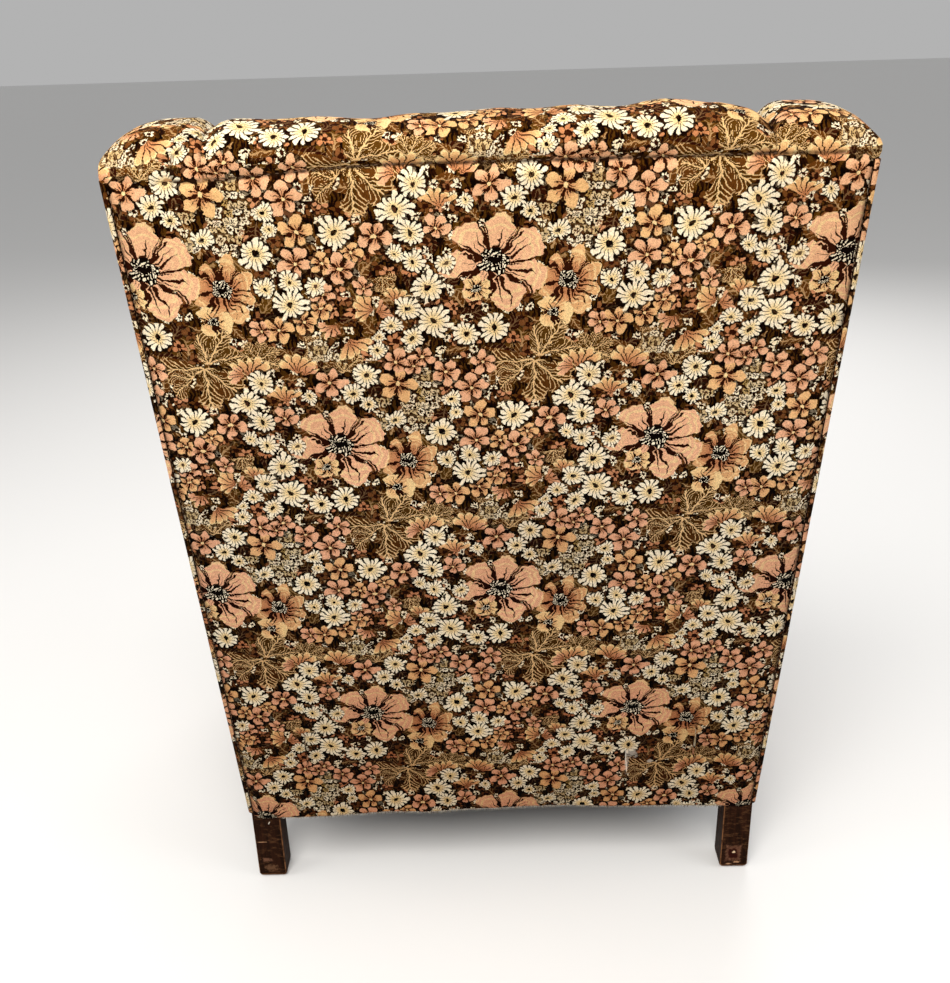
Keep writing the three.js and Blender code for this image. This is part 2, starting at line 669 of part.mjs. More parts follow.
function insideBackPad() {
  const count = 15;
  const sections = Array.from({ length: count }, (_, i) => {
    const x = seatHalfX * (2 * i / (count - 1) - 1);
    return { x, profile: backPadProfile(x) };
  });
  return loft(sections);
}

// A padded slab over the springs, sunk as the springs are
function seatDeck() {
  const rearY = rearRailY0 + RAIL_THICK;
  const depth = rearY - frontRailY0;
  const bands = 12;
  const flat = RAIL_THICK; // the ends stay level over the rails and clips
  const geometry = new THREE.BoxGeometry(2 * (seatHalfX - GAP), bands, DECK_THICK, 10, bands, 1);
  geometry.translate(0, bands / 2, deckBottomZ + DECK_THICK / 2);
  const position = geometry.attributes.position;
  for (let i = 0; i < position.count; i += 1) {
    const inner = (position.getY(i) - 1) / (bands - 2);
    const y = inner < 0 ? frontRailY0
      : inner > 1 ? rearY
        : frontRailY0 + flat + inner * (depth - 2 * flat);
    position.setY(i, y);
    position.setZ(i, position.getZ(i) - SPRING_SAG * sunk(position.getX(i), y));
  }
  return merged(geometry);
}

// The loose cushion: rounded edges, a crown that has worn down, and a base that lies in the sunk deck
function seatCushion() {
  const frontEdge = frontY - FACING_THICK - CUSHION_OVERHANG;
  const bottomZ = deckTopZ + 3 * GAP;
  const topZ = bottomZ + CUSHION_THICK;
  const halfX = seatHalfX - GAP;
  const geometry = new THREE.BoxGeometry(2, 2, 2, 14, 14, 4);
  const position = geometry.attributes.position;
  const p = new THREE.Vector3();
  for (let i = 0; i < position.count; i += 1) {
    p.fromBufferAttribute(position, i);
    const edge = Math.max(Math.abs(p.x), Math.abs(p.y));
    const drawn = CUSHION_EDGE * (1 - Math.sqrt(Math.max(0, 1 - (p.z * 0.92) ** 2))) * 0.55 * edge ** 6;
    const height = THREE.MathUtils.lerp(bottomZ, topZ, (p.z + 1) / 2);
    const rearEdge = onBackAtHeight(height, BACK_PAD_DEPTH + LUMBAR_DEPTH).x - GAP;
    const x = p.x * (halfX - drawn);
    const y = (frontEdge + rearEdge) / 2 + p.y * ((rearEdge - frontEdge) / 2 - drawn);
    const rim = CUSHION_EDGE * 0.42 * edge ** 8;
    const settled = sunk(x, y);
    const z = p.z > 0
      ? THREE.MathUtils.lerp((bottomZ + topZ) / 2, topZ - rim - CUSHION_SAG * settled, p.z)
      : THREE.MathUtils.lerp((bottomZ + topZ) / 2, bottomZ + rim * 0.6 - SPRING_SAG * settled, -p.z);
    position.setXYZ(i, x, y, z);
  }
  return merged(geometry);
}

// Padded faces: one over each arm's front, and a border over the front rail
function armFacing() {
  const shape = new THREE.Shape();
  shape.moveTo(armInnerX, LEG_HEIGHT);
  shape.lineTo(coverX, LEG_HEIGHT);
  shape.lineTo(coverX, armTopZ - ARM_ROUND);
  shape.absarc(coverX - ARM_ROUND, armTopZ - ARM_ROUND, ARM_ROUND, 0, Math.PI / 2);
  shape.absarc(armInnerX + ARM_ROUND, armTopZ - ARM_ROUND, ARM_ROUND, Math.PI / 2, Math.PI);
  return alongChair(shape, frontY - 2 * GAP, frontY - 2 * GAP - FACING_THICK);
}

function frontBorder() {
  return block(-seatHalfX, seatHalfX, frontY - 2 * GAP - FACING_THICK, frontY - 2 * GAP, LEG_HEIGHT, deckTopZ - GAP);
}

function dustCloth() {
  const edgeX = sideRailX + RAIL_THICK / 2;
  const edgeFront = frontY + RAIL_THICK / 2;
  const edgeRear = rearRailY - RAIL_THICK / 2;
  const notchFrontX = frontPostInnerX - 2;
  const notchRearX = postInnerX - 2;
  const notchFrontY = frontPostRearY + 2;
  const notchRearY = rearPostFrontY - 2;
  const shape = new THREE.Shape([
    new THREE.Vector2(-notchFrontX, edgeFront), new THREE.Vector2(notchFrontX, edgeFront),
    new THREE.Vector2(notchFrontX, notchFrontY), new THREE.Vector2(edgeX, notchFrontY),
    new THREE.Vector2(edgeX, notchRearY), new THREE.Vector2(notchRearX, notchRearY),
    new THREE.Vector2(notchRearX, edgeRear), new THREE.Vector2(-notchRearX, edgeRear),
    new THREE.Vector2(-notchRearX, notchRearY), new THREE.Vector2(-edgeX, notchRearY),
    new THREE.Vector2(-edgeX, notchFrontY), new THREE.Vector2(-notchFrontX, notchFrontY),
  ]);
  const geometry = new THREE.ExtrudeGeometry(shape, { depth: DUST_CLOTH, bevelEnabled: false });
  return geometry.translate(0, 0, railBottomZ - GAP - DUST_CLOTH);
}

add('outside_back_cover', backPanel(), TAPESTRY);
addPair('side_cover', sidePanel(0, coverX), TAPESTRY);
addPair('wing_pad', wingPad(), TAPESTRY);
addPair('arm_pad', armPad(), TAPESTRY);
addPair('arm_facing', armFacing(), TAPESTRY);
add('inside_back_pad', insideBackPad(), TAPESTRY);
add('front_border', frontBorder(), TAPESTRY);
add('seat_deck', seatDeck(), HESSIAN);
add('seat_cushion', seatCushion(), TAPESTRY);
add('dust_cloth', dustCloth(), BLACK_CLOTH);

const reach = new THREE.Box3().setFromObject(chair);
chair.position.y = -(reach.min.y + reach.max.y) / 2;

export default chair;
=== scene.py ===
"""An old wing armchair in worn floral tapestry, dressed over its timber and spring frame."""
import math

import bmesh
import bpy
import numpy as np
from mathutils import Matrix, Vector, noise


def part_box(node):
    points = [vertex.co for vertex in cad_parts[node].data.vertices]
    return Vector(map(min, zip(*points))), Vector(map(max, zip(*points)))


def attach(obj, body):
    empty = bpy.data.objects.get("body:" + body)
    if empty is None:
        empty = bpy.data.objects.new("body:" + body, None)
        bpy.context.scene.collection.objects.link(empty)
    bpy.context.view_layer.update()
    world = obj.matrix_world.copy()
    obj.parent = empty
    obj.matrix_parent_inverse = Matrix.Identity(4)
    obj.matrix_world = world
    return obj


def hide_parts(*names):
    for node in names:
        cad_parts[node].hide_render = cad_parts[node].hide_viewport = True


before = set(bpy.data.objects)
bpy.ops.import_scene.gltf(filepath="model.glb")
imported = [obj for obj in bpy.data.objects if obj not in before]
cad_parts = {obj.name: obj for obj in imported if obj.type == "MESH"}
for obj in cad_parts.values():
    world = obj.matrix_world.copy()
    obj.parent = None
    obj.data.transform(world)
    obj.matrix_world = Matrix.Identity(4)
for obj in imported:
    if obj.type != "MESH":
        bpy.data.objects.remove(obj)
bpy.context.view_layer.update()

# Sizes in metres, as the frame has them
LEG_HEIGHT = 0.118
BACK_RAKE = math.radians(10)
SEAM_LENGTH = 0.910
CREST_LENGTH = 0.952
WING_LENGTH = 0.950
WING_REACH = 0.226
WING_TOP_DEPTH = 0.078
PAD_REAR_DEPTH = 0.0479
BACK_PAD_DEPTH = 0.118
BACK_PAD_START = 0.164
LUMBAR_DEPTH = 0.020
LUMBAR_RISE = 0.190
ARM_TOP = 0.6003
ARM_ROUND = 0.032
ARM_ROLL_DROP = 0.040
FLARE = 0.017 / 0.9
PANEL_INSET = 0.034
FRONT = -0.600
FACING_THICK = 0.012
SIDE_X = 0.3638
EDGE_ROUND = 0.0065  # round of the upright edges, between the outside back and the sides
ARM_INNER_X = 0.266
SEAT_HALF_X = 0.2657
REAR_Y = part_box("outside_back_cover")[0][1] + 0.00246  # rear surface at the hem

# Fabric repeat: each row of flowers steps sideways by half a repeat
REPEAT_WIDTH = 0.343
REPEAT_HEIGHT = 0.2075
BLOOM_AT = (-0.004, 0.821)  # a big bloom's place on the outside back
THREAD = 0.0007


# Places on the chair

def on_back(up, depth):
    """Side-view place (y, z), up the raked back from the hem and forwards from its rear surface."""
    y = up * math.sin(BACK_RAKE) - depth * math.cos(BACK_RAKE)
    z = LEG_HEIGHT + up * math.cos(BACK_RAKE) + depth * math.sin(BACK_RAKE)
    return y, z


def on_back_at(z, depth):
    return on_back((z - LEG_HEIGHT - depth * math.sin(BACK_RAKE)) / math.cos(BACK_RAKE), depth)


def placed(x, y, z):
    """A point of the layout in the frame of the chair, with the slight widening towards the top."""
    return Vector((x * (1 + FLARE * (z - LEG_HEIGHT)), y + REAR_Y, z))


def seam_up(x):
    """Height of the seam under the crest, a little lower at the sitter's left."""
    return SEAM_LENGTH + 0.0105 * smooth((0.30 - x) / 0.22) - 0.0015


def ripple(point, size, seed=0.0):
    return noise.noise(Vector(point) / size + Vector((seed * 7.1, seed * 3.3, seed)))


def smooth(value):
    value = min(1.0, max(0.0, value))
    return value * value * (3 - 2 * value)


# Meshes

def new_piece(name, points, faces, uvs=None, shade=True):
    mesh = bpy.data.meshes.new(name)
    mesh.from_pydata([tuple(p) for p in points], [], faces)
    if uvs is not None:
        layer = mesh.uv_layers.new(name="cloth")
        loop_vertices = np.empty(len(mesh.loops), dtype=np.int32)
        mesh.loops.foreach_get("vertex_index", loop_vertices)
        layer.data.foreach_set("uv", np.asarray(uvs, dtype=np.float32)[loop_vertices].ravel())
    if shade:
        mesh.shade_smooth()
    piece = bpy.data.objects.new(name, mesh)
    bpy.context.scene.collection.objects.link(piece)
    return piece


def surface(name, rows, columns, place, cloth, flip=False, wrap=False, other=None, other_rows=()):
    """A sheet of quads: place(i, j) gives each point and cloth(i, j) its spot on the fabric in metres.

    Where two cloths meet, the rows of quads in other_rows take their spots from other(i, j)."""
    points = [place(i, j) for i in range(rows) for j in range(columns)]
    uvs = [cloth(i, j) for i in range(rows) for j in range(columns)]
    faces = []
    for i in range(rows - 1):
        for j in range(columns if wrap else columns - 1):
            a = i * columns + j
            b = i * columns + (j + 1) % columns
            quad = (a, b, b + columns, a + columns)
            faces.append(quad[::-1] if flip else quad)
    piece = new_piece(name, points, faces, uvs)
    if other:
        layer = piece.data.uv_layers["cloth"].data
        for i in other_rows:
            for face in piece.data.polygons[i * (columns - 1):(i + 1) * (columns - 1)]:
                for loop in face.loop_indices:
                    layer[loop].uv = other(*divmod(piece.data.loops[loop].vertex_index, columns))
    return piece


def even_path(points, count):
    """The same path with its points spaced evenly, and its length."""
    points = np.asarray(points, dtype=float)
    steps = np.linalg.norm(np.diff(points, axis=0), axis=1)
    run = np.concatenate([[0], np.cumsum(steps)])
    at = np.linspace(0, run[-1], count)
    return np.stack([np.interp(at, run, points[:, k]) for k in range(points.shape[1])], axis=1), run[-1]


def rounded_path(points, passes=2):
    """Cuts the corners of an open path."""
    points = [np.asarray(p, dtype=float) for p in points]
    for _ in range(passes):
        cut = [points[0]]
        for a, b in zip(points, points[1:]):
            cut += [a * 0.75 + b * 0.25, a * 0.25 + b * 0.75]
        points = cut + [points[-1]]
    return points


def finish(piece, material, *nodes, thickness=0.0, offset=-1.0, levels=0):
    piece.data.materials.append(material)
    if thickness:
        wall = piece.modifiers.new("thickness", "SOLIDIFY")
        wall.thickness = thickness
        wall.offset = offset
    if levels:
        fine = piece.modifiers.new("smooth", "SUBSURF")
        fine.levels = levels
        fine.render_levels = levels
    if nodes:
        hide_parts(*nodes)
    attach(piece, "root")
    return piece


def mirrored(piece, name):
    """A copy on the other side of the chair, its faces turned to point out again."""
    mesh = piece.data.copy()
    mesh.name = name
    mesh.transform(Matrix.Scale(-1, 4, (1, 0, 0)))
    mesh.flip_normals()
    if "cloth" in mesh.uv_layers:
        for loop in mesh.uv_layers["cloth"].data:
            loop.uv.x = -loop.uv.x
    copy = bpy.data.objects.new(name, mesh)
    bpy.context.scene.collection.objects.link(copy)
    return copy


# Materials: a short hand for building node trees

class Graph:
    def __init__(self, tree):
        self.tree = tree

    def node(self, kind, **settings):
        node = self.tree.nodes.new(kind)
        for key, value in settings.items():
            setattr(node, key, value)
        return node

    def feed(self, socket, value):
        if isinstance(value, bpy.types.NodeSocket):
            self.tree.links.new(value, socket)
        elif value is not None:
            socket.default_value = value

    def math(self, operation, a, b=None, c=None, clamp=False):
        node = self.node("ShaderNodeMath", operation=operation, use_clamp=clamp)
        for socket, value in zip(node.inputs, (a, b, c)):
            self.feed(socket, value)
        return node.outputs[0]

    def vector(self, operation, a, b=None, c=None):
        node = self.node("ShaderNodeVectorMath", operation=operation)
        for socket, value in zip(node.inputs, (a, b, c)):
            self.feed(socket, value)
        return node.outputs["Value"] if operation in ("LENGTH", "DISTANCE", "DOT_PRODUCT") else node.outputs[0]

    def scale(self, a, factor):
        node = self.node("ShaderNodeVectorMath", operation="SCALE")
        self.feed(node.inputs[0], a)
        self.feed(node.inputs["Scale"], factor)
        return node.outputs[0]

    def split(self, a):
        node = self.node("ShaderNodeSeparateXYZ")
        self.feed(node.inputs[0], a)
        return node.outputs

    def join(self, x, y, z=0.0):
        node = self.node("ShaderNodeCombineXYZ")
        for socket, value in zip(node.inputs, (x, y, z)):
            self.feed(socket, value)
        return node.outputs[0]

    def ramp(self, value, low, high, low_out=0.0, high_out=1.0, smooth_step=False):
        node = self.node("ShaderNodeMapRange")
        if smooth_step:
            node.interpolation_type = "SMOOTHSTEP"
        for socket, number in zip(node.inputs, (value, low, high, low_out, high_out)):
            self.feed(socket, number)
        return node.outputs[0]

    def mix(self, factor, a, b, blend="MIX"):
        node = self.node("ShaderNodeMix", data_type="RGBA", blend_type=blend)
        self.feed(node.inputs[0], factor)
        self.feed(node.inputs[6], a)
        self.feed(node.inputs[7], b)
        return node.outputs[2]

    def noise(self, vector, scale, detail=2.0, roughness=0.5, dimensions="3D"):
        node = self.node("ShaderNodeTexNoise", noise_dimensions=dimensions)
        self.feed(node.inputs["Vector"], vector)
        self.feed(node.inputs["Scale"], scale)
        self.feed(node.inputs["Detail"], detail)
        self.feed(node.inputs["Roughness"], roughness)
        return node.outputs[0]

    def noise_colour(self, vector, scale, detail):
        node = self.node("ShaderNodeTexNoise", noise_dimensions="2D")
        self.feed(node.inputs["Vector"], vector)
        self.feed(node.inputs["Scale"], scale)
        self.feed(node.inputs["Detail"], detail)
        return node.outputs["Color"]

    def choose(self, factor, a, b):
        """The vector b where the factor is 1, and otherwise a."""
        node = self.node("ShaderNodeMix", data_type="VECTOR")
        self.feed(node.inputs[0], factor)
        self.feed(node.inputs[4], a)
        self.feed(node.inputs[5], b)
        return node.outputs[1]

    def group(self, tree, **inputs):
        node = self.node("ShaderNodeGroup")
        node.node_tree = tree
        for key, value in inputs.items():
            self.feed(node.inputs[key.replace("_", " ").capitalize()], value)
        return node.outputs


def node_group(name, inputs, outputs):
    """An empty shader node group with named sockets; inputs map a name to its kind or default number."""
    tree = bpy.data.node_groups.new(name, "ShaderNodeTree")
    kinds = {"vector": "NodeSocketVector", "color": "NodeSocketColor", "value": "NodeSocketFloat"}
    for label, kind in inputs.items():
        is_number = not isinstance(kind, str)
        socket = tree.interface.new_socket(
            label, in_out="INPUT", socket_type=kinds["value" if is_number else kind])
        if is_number:
            socket.default_value = kind
    for label, kind in outputs.items():
        tree.interface.new_socket(label, in_out="OUTPUT", socket_type=kinds[kind])
    graph = Graph(tree)
    return graph, graph.node("NodeGroupInput").outputs, graph.node("NodeGroupOutput").inputs


def rgb(red, green, blue):
    """A colour from its screen values, 0 to 255."""
    def linear(value):
        value /= 255
        return value / 12.92 if value <= 0.04045 else ((value + 0.055) / 1.055) ** 2.4
    return (linear(red), linear(green), linear(blue), 1.0)


# Shared effects

def make_print_place():
    """Place in one repeat of the cloth, right and up from its big bloom, with the weaver's small unevenness."""
    graph, given, out = node_group("print_place", {"Cloth": "vector", "Waver": 0.0080}, {"Place": "vector"})
    flat = graph.vector("MULTIPLY_ADD", given["Cloth"], (-1, 1, 0), (BLOOM_AT[0], -BLOOM_AT[1], 0))
    flat = graph.split(graph.vector("SNAP", flat, (THREAD, THREAD, THREAD)))
    row = graph.math("FLOOR", graph.math("ADD", graph.math("DIVIDE", flat[1], REPEAT_HEIGHT), 0.5))
    up = graph.math("SUBTRACT", flat[1], graph.math("MULTIPLY", row, REPEAT_HEIGHT))
    right = graph.math("ADD", flat[0], graph.math("MULTIPLY", row, REPEAT_WIDTH / 2))
    right = graph.math("WRAP", right, REPEAT_WIDTH / 2, -REPEAT_WIDTH / 2)
    place = graph.join(right, up)
    waver = graph.node("ShaderNodeTexNoise", noise_dimensions="2D")
    waver.inputs["Scale"].default_value = 80.0
    waver.inputs["Detail"].default_value = 2.0
    graph.feed(waver.inputs["Vector"], place)
    shift = graph.scale(graph.vector("SUBTRACT", waver.outputs["Color"], (0.5, 0.5, 0.5)), given["Waver"])
    graph.feed(out["Place"], graph.vector("MULTIPLY", graph.vector("ADD", place, shift), (1, 1, 0)))
    return graph.tree


def make_motif_scatter():
    """Coordinates about the motifs of an uneven grid that fits the repeat, with two random numbers for each."""
    graph, given, out = node_group(
        "motif_scatter",
        {"Place": "vector", "Shift": "vector", "Columns": 8.0, "Rows": 5.0, "Stray": 0.004, "Seed": 0.0},
        {"Local": "vector", "Pick": "value", "Tint": "value"})
    cloth = graph.split(graph.vector("ADD", given["Place"], given["Shift"]))
    down = graph.math("DIVIDE", graph.math("MULTIPLY", cloth[1], given["Rows"]), REPEAT_HEIGHT)
    line = graph.math("FLOOR", down)
    across = graph.math("DIVIDE", graph.math("MULTIPLY", cloth[0], given["Columns"]), REPEAT_WIDTH)
    across = graph.math("ADD", across, graph.math("MULTIPLY", graph.math("FLOORED_MODULO", line, 2.0), 0.5))
    chance = graph.node("ShaderNodeTexWhiteNoise", noise_dimensions="3D")
    graph.feed(chance.inputs["Vector"], graph.join(graph.math("FLOOR", across), line, given["Seed"]))
    luck = graph.split(chance.outputs["Color"])
    x = graph.math("MULTIPLY", graph.math("SUBTRACT", graph.math("FRACT", across), 0.5),
                   graph.math("DIVIDE", REPEAT_WIDTH, given["Columns"]))
    y = graph.math("MULTIPLY", graph.math("SUBTRACT", graph.math("FRACT", down), 0.5),
                   graph.math("DIVIDE", REPEAT_HEIGHT, given["Rows"]))
    x = graph.math("MULTIPLY_ADD", graph.math("SUBTRACT", luck[0], 0.5), given["Stray"], x)
    y = graph.math("MULTIPLY_ADD", graph.math("SUBTRACT", luck[1], 0.5), given["Stray"], y)
    turn = graph.node("ShaderNodeVectorRotate", rotation_type="Z_AXIS")
    graph.feed(turn.inputs["Vector"], graph.join(x, y))
    graph.feed(turn.inputs["Angle"], graph.math("MULTIPLY", luck[2], 2 * math.pi))
    graph.feed(out["Local"], turn.outputs[0])
    graph.feed(out["Pick"], chance.outputs["Value"])
    graph.feed(out["Tint"], luck[0])
    return graph.tree


def make_petal_ring():
    """A ring of petals on a motif of radius 1, whose number in the list is kept in its Z."""
    graph, given, out = node_group(
        "petal_ring",
        {"Local": "vector", "Petals": 5.0, "Notch": 0.4, "Ragged": 0.15, "Spin": 1.0},
        {"Mask": "value", "Rim": "value", "Reach": "value", "Side": "value", "Turns": "value", "Pick": "value"})
    xyz = graph.split(given["Local"])
    flat = graph.join(xyz[0], xyz[1])
    reach = graph.vector("LENGTH", flat)
    pick = graph.node("ShaderNodeTexWhiteNoise", noise_dimensions="1D")
    graph.feed(pick.inputs["W"], graph.math("ROUND", graph.math("MULTIPLY", xyz[2], 1000.0)))
    angle = graph.math("ARCTAN2", xyz[0], xyz[1])
    turns = graph.math("MULTIPLY", graph.math("DIVIDE", angle, 2 * math.pi), given["Petals"])
    turns = graph.math("ADD", turns, graph.math("MULTIPLY_ADD", pick.outputs["Value"], given["Spin"], 50.5))
    side = graph.math("ABSOLUTE", graph.math("SUBTRACT", graph.math("FRACT", turns), 0.5))
    luck = graph.node("ShaderNodeTexWhiteNoise", noise_dimensions="2D")
    graph.feed(luck.inputs["Vector"], graph.join(graph.math("FLOOR", turns), pick.outputs["Value"]))
    outline = graph.math("SUBTRACT", 1.0, graph.math("MULTIPLY", luck.outputs["Value"], given["Ragged"]))
    rounding = graph.math("MULTIPLY", graph.math("POWER", graph.math("MULTIPLY", side, 2.0), 2.5), given["Notch"])
    outline = graph.math("SUBTRACT", outline, rounding)
    graph.feed(out["Mask"], graph.math("LESS_THAN", reach, outline))
    graph.feed(out["Rim"], graph.math("SUBTRACT", outline, reach))
    graph.feed(out["Reach"], reach)
    graph.feed(out["Side"], side)
    graph.feed(out["Turns"], turns)
    graph.feed(out["Pick"], pick.outputs["Value"])
    return graph.tree


def make_leaf():
    """A pointed leaf along X, its midrib and side veins, and a notched edge."""
    graph, given, out = node_group(
        "leaf", {"Local": "vector", "Length": 0.062, "Width": 0.011, "Veins": 0.008},
        {"Mask": "value", "Vein": "value"})
    xyz = graph.split(given["Local"])
    along = graph.math("DIVIDE", xyz[0], given["Length"])
    across = graph.math("ABSOLUTE", xyz[1])
    saw = graph.math("FRACT", graph.math("DIVIDE", graph.math("SUBTRACT", xyz[0], across), given["Veins"]))
    belly = graph.math("SINE", graph.math("MULTIPLY", graph.math("POWER", along, 0.8), math.pi))
    notched = graph.math("MULTIPLY", given["Width"], graph.ramp(saw, 0.0, 1.0, 1.0, 0.8))
    half = graph.math("MULTIPLY", belly, notched)
    between = graph.math("MULTIPLY", graph.math("GREATER_THAN", along, 0.0), graph.math("LESS_THAN", along, 1.0))
    graph.feed(out["Mask"], graph.math("MULTIPLY", between, graph.math("LESS_THAN", across, half)))
    graph.feed(out["Vein"], graph.math("MAXIMUM", graph.math("LESS_THAN", across, 0.0007),
                                       graph.math("LESS_THAN", saw, 0.16)))
    return graph.tree


def make_weave():
    """Raised warp and weft threads on cloth coordinates."""
    graph, given, out = node_group("weave", {"Cloth": "vector", "Thread": THREAD},
                                   {"Height": "value", "Fleck": "value"})
    threads = graph.split(graph.vector("DIVIDE", given["Cloth"],
                                       graph.join(given["Thread"], given["Thread"], given["Thread"])))
    warp = graph.math("SINE", graph.math("MULTIPLY", threads[0], math.pi))
    weft = graph.math("SINE", graph.math("MULTIPLY", threads[1], math.pi))
    luck = graph.node("ShaderNodeTexWhiteNoise", noise_dimensions="2D")
    graph.feed(luck.inputs["Vector"], graph.join(graph.math("FLOOR", threads[0]), graph.math("FLOOR", threads[1])))
    graph.feed(out["Height"], graph.math("MULTIPLY", graph.math("ABSOLUTE", warp), graph.math("ABSOLUTE", weft)))
    graph.feed(out["Fleck"], luck.outputs["Value"])
    return graph.tree


PRINT_PLACE = make_print_place()
MOTIF_SCATTER = make_motif_scatter()
PETAL_RING = make_petal_ring()
LEAF = make_leaf()
WEAVE = make_weave()

NEAR_BLACK = rgb(18, 6, 1)
GROUND = rgb(42, 21, 6)
STEM = rgb(82, 58, 22)
MAROON = rgb(58, 28, 12)
OLIVE = rgb(98, 72, 30)
RUST = rgb(102, 68, 32)
VEIN = rgb(234, 206, 164)
PEACH = rgb(240, 196, 168)
DEEP_PEACH = rgb(198, 146, 112)
APRICOT = rgb(238, 200, 156)
BUTTER = rgb(248, 226, 182)
CREAM = rgb(255, 248, 230)

# Flowers of one repeat in millimetres: right, up, radius and, where it has one, the way it points in degrees
DAISIES = (
    (-74, 81, 17), (36, 86, 16), (-93, 57, 19), (-153, 34, 20), (-81, 33, 16), (20, 64, 14), (36, 51, 11),
    (111, 15, 19), (-79, 3, 14), (-97, 12, 11), (-66, -25, 19), (-48, 1, 12), (-88, -47, 15), (-62, -61, 21),
    (-105, -65, 12), (-84, -79, 14), (-30, -77, 17), (-1, -71, 18), (116, -21, 12), (138, -39, 20), (141, -15, 14),
    (-121, -93, 11), (-119, -77, 8), (63, 31, 12), (127, 39, 9), (125, 55, 12), (-26, 62, 9), (165, -21, 12))
BLOSSOMS = (
    (-115, 30, 20), (-151, -3, 20), (-170, 3, 14), (68, 74, 22), (145, 69, 20), (119, 87, 17), (153, 35, 19),
    (148, 5, 20), (-3, 79, 20), (-55, 38, 15), (-103, -107, 17), (-76, -101, 15), (-13, -109, 15), (123, -65, 19),
    (105, -67, 14), (151, -59, 15), (-171, -29, 16), (-139, 13, 13), (85, 97, 14), (168, -45, 14), (-130, -22, 12))
TULIPS = (
    (-51, 58, 21, 0), (-29, 88, 21, 10), (88, -118, 26, 0), (136, -116, 25, 5), (-92, 90, 18, -70),
    (-118, -50, 22, 75), (-122, -48, 22, -75), (-100, -40, 19, 10), (-150, -80, 24, 150), (-163, -62, 19, 215))
LEAVES = (
    (-131, 99, 54, 180), (46, -102, 46, -12), (26, -120, 33, -40), (-157, -115, 27, 5), (98, -100, 25, 15),
    (-112, -14, 17, 170), (150, -85, 18, 100))
FLORET_PATCHES = (
    (91, 58, 24), (84, 34, 19), (98, 78, 15), (52, 57, 10), (54, 28, 9), (162, -92, 13), (-160, -100, 9))


def after(graph, place, value):
    """A place that waits for the layers below, so that few values are held at once."""
    return graph.vector("MULTIPLY_ADD", value, (1e-7, 1e-7, 0), place)


def over_the_edges(spots):
    """The list again, with each flower that crosses the edge of the repeat also at its other side."""
    width, height = REPEAT_WIDTH * 1000, REPEAT_HEIGHT * 1000
    return [(number, x + column * width + row * width / 2, y + row * height, radius, *turn)
            for number, (x, y, radius, *turn) in enumerate(spots)
            for row in (-1, 0, 1) for column in (-1, 0, 1)
            if abs(x + column * width + row * width / 2) < width / 2 + radius
            and abs(y + row * height) < height / 2 + radius]


def nearest(graph, colour, place, spots):
    """Coordinates about the nearest flower of a list, in its own radii, with its number in Z."""
    best, closest = None, None
    for number, x, y, radius, *turn in over_the_edges(spots):
        size = 1000 / radius
        local = graph.vector("MULTIPLY_ADD", after(graph, place, colour if best is None else best),
                             (size, size, 0), (-x / radius, -y / radius, number / 1000))
        if turn:
            turned = graph.node("ShaderNodeVectorRotate", rotation_type="Z_AXIS")
            turned.inputs["Angle"].default_value = math.radians(turn[0])
            graph.feed(turned.inputs["Vector"], local)
            local = turned.outputs[0]
        distance = graph.vector("LENGTH", local)
        if best is None:
            best, closest = local, distance
        else:
            best = graph.choose(graph.math("LESS_THAN", distance, closest), best, local)
            closest = graph.math("MINIMUM", distance, closest)
    return best


def paint_small_leaves(graph, colour, place):
    for columns, rows, length, width, seed, fill, line in (
            (9.0, 6.0, 0.019, 0.0085, 1.0, OLIVE, 0.35), (8.0, 5.0, 0.021, 0.0085, 2.0, MAROON, 0.2),
            (10.0, 7.0, 0.015, 0.0065, 3.0, RUST, 0.5)):
        spot = graph.group(MOTIF_SCATTER, place=after(graph, place, colour), shift=(0.031 * seed, 0.017 * seed, 0),
                           columns=columns, rows=rows, stray=0.005, seed=seed)
        leaf = graph.group(LEAF, local=graph.vector("ADD", spot["Local"], (length, 0, 0)), length=2 * length,
                           width=width, veins=0.0055)
        inner = graph.mix(graph.math("MULTIPLY", leaf["Vein"], line), fill, VEIN)
        colour = graph.mix(leaf["Mask"], colour, inner)
    return colour


def dark_bed(graph, colour, ring, reach, amount):
    """Near-black ground round and between the petals of a motif."""
    inside = graph.math("LESS_THAN", ring["Reach"], reach)
    return graph.mix(graph.math("MULTIPLY", inside, amount), colour, NEAR_BLACK)


def paint_fillers(graph, colour, place):
    """Small loose petals and florets that close the ground between the leaves."""
    for columns, rows, radius, petals, seed, share, tone, other in (
            (21.0, 13.0, 0.0098, 5.0, 4.0, 0.44, RUST, DEEP_PEACH),
            (17.0, 11.0, 0.0100, 6.0, 5.0, 0.28, DEEP_PEACH, PEACH),
            (30.0, 19.0, 0.0062, 7.0, 6.0, 0.30, CREAM, BUTTER)):
        spot = graph.group(MOTIF_SCATTER, place=after(graph, place, colour), shift=(0.023 * seed, 0.011 * seed, 0),
                           columns=columns, rows=rows, stray=0.007, seed=seed)
        ring = graph.group(PETAL_RING, local=graph.scale(spot["Local"], 1 / radius), petals=petals,
                           notch=0.6, ragged=0.4)
        petal = graph.math("LESS_THAN", ring["Side"], graph.ramp(ring["Reach"], 0.2, 1.0, 0.44, 0.36))
        shade = graph.mix(spot["Tint"], tone, other)
        shade = graph.mix(graph.math("LESS_THAN", ring["Reach"], 0.3), shade, MAROON)
        chosen = graph.math("LESS_THAN", spot["Pick"], share)
        colour = dark_bed(graph, colour, ring, 0.85, graph.math("MULTIPLY", chosen, 0.7))
        shown = graph.math("MULTIPLY", graph.math("MULTIPLY", ring["Mask"], petal), chosen)
        colour = graph.mix(shown, colour, shade)
    return colour


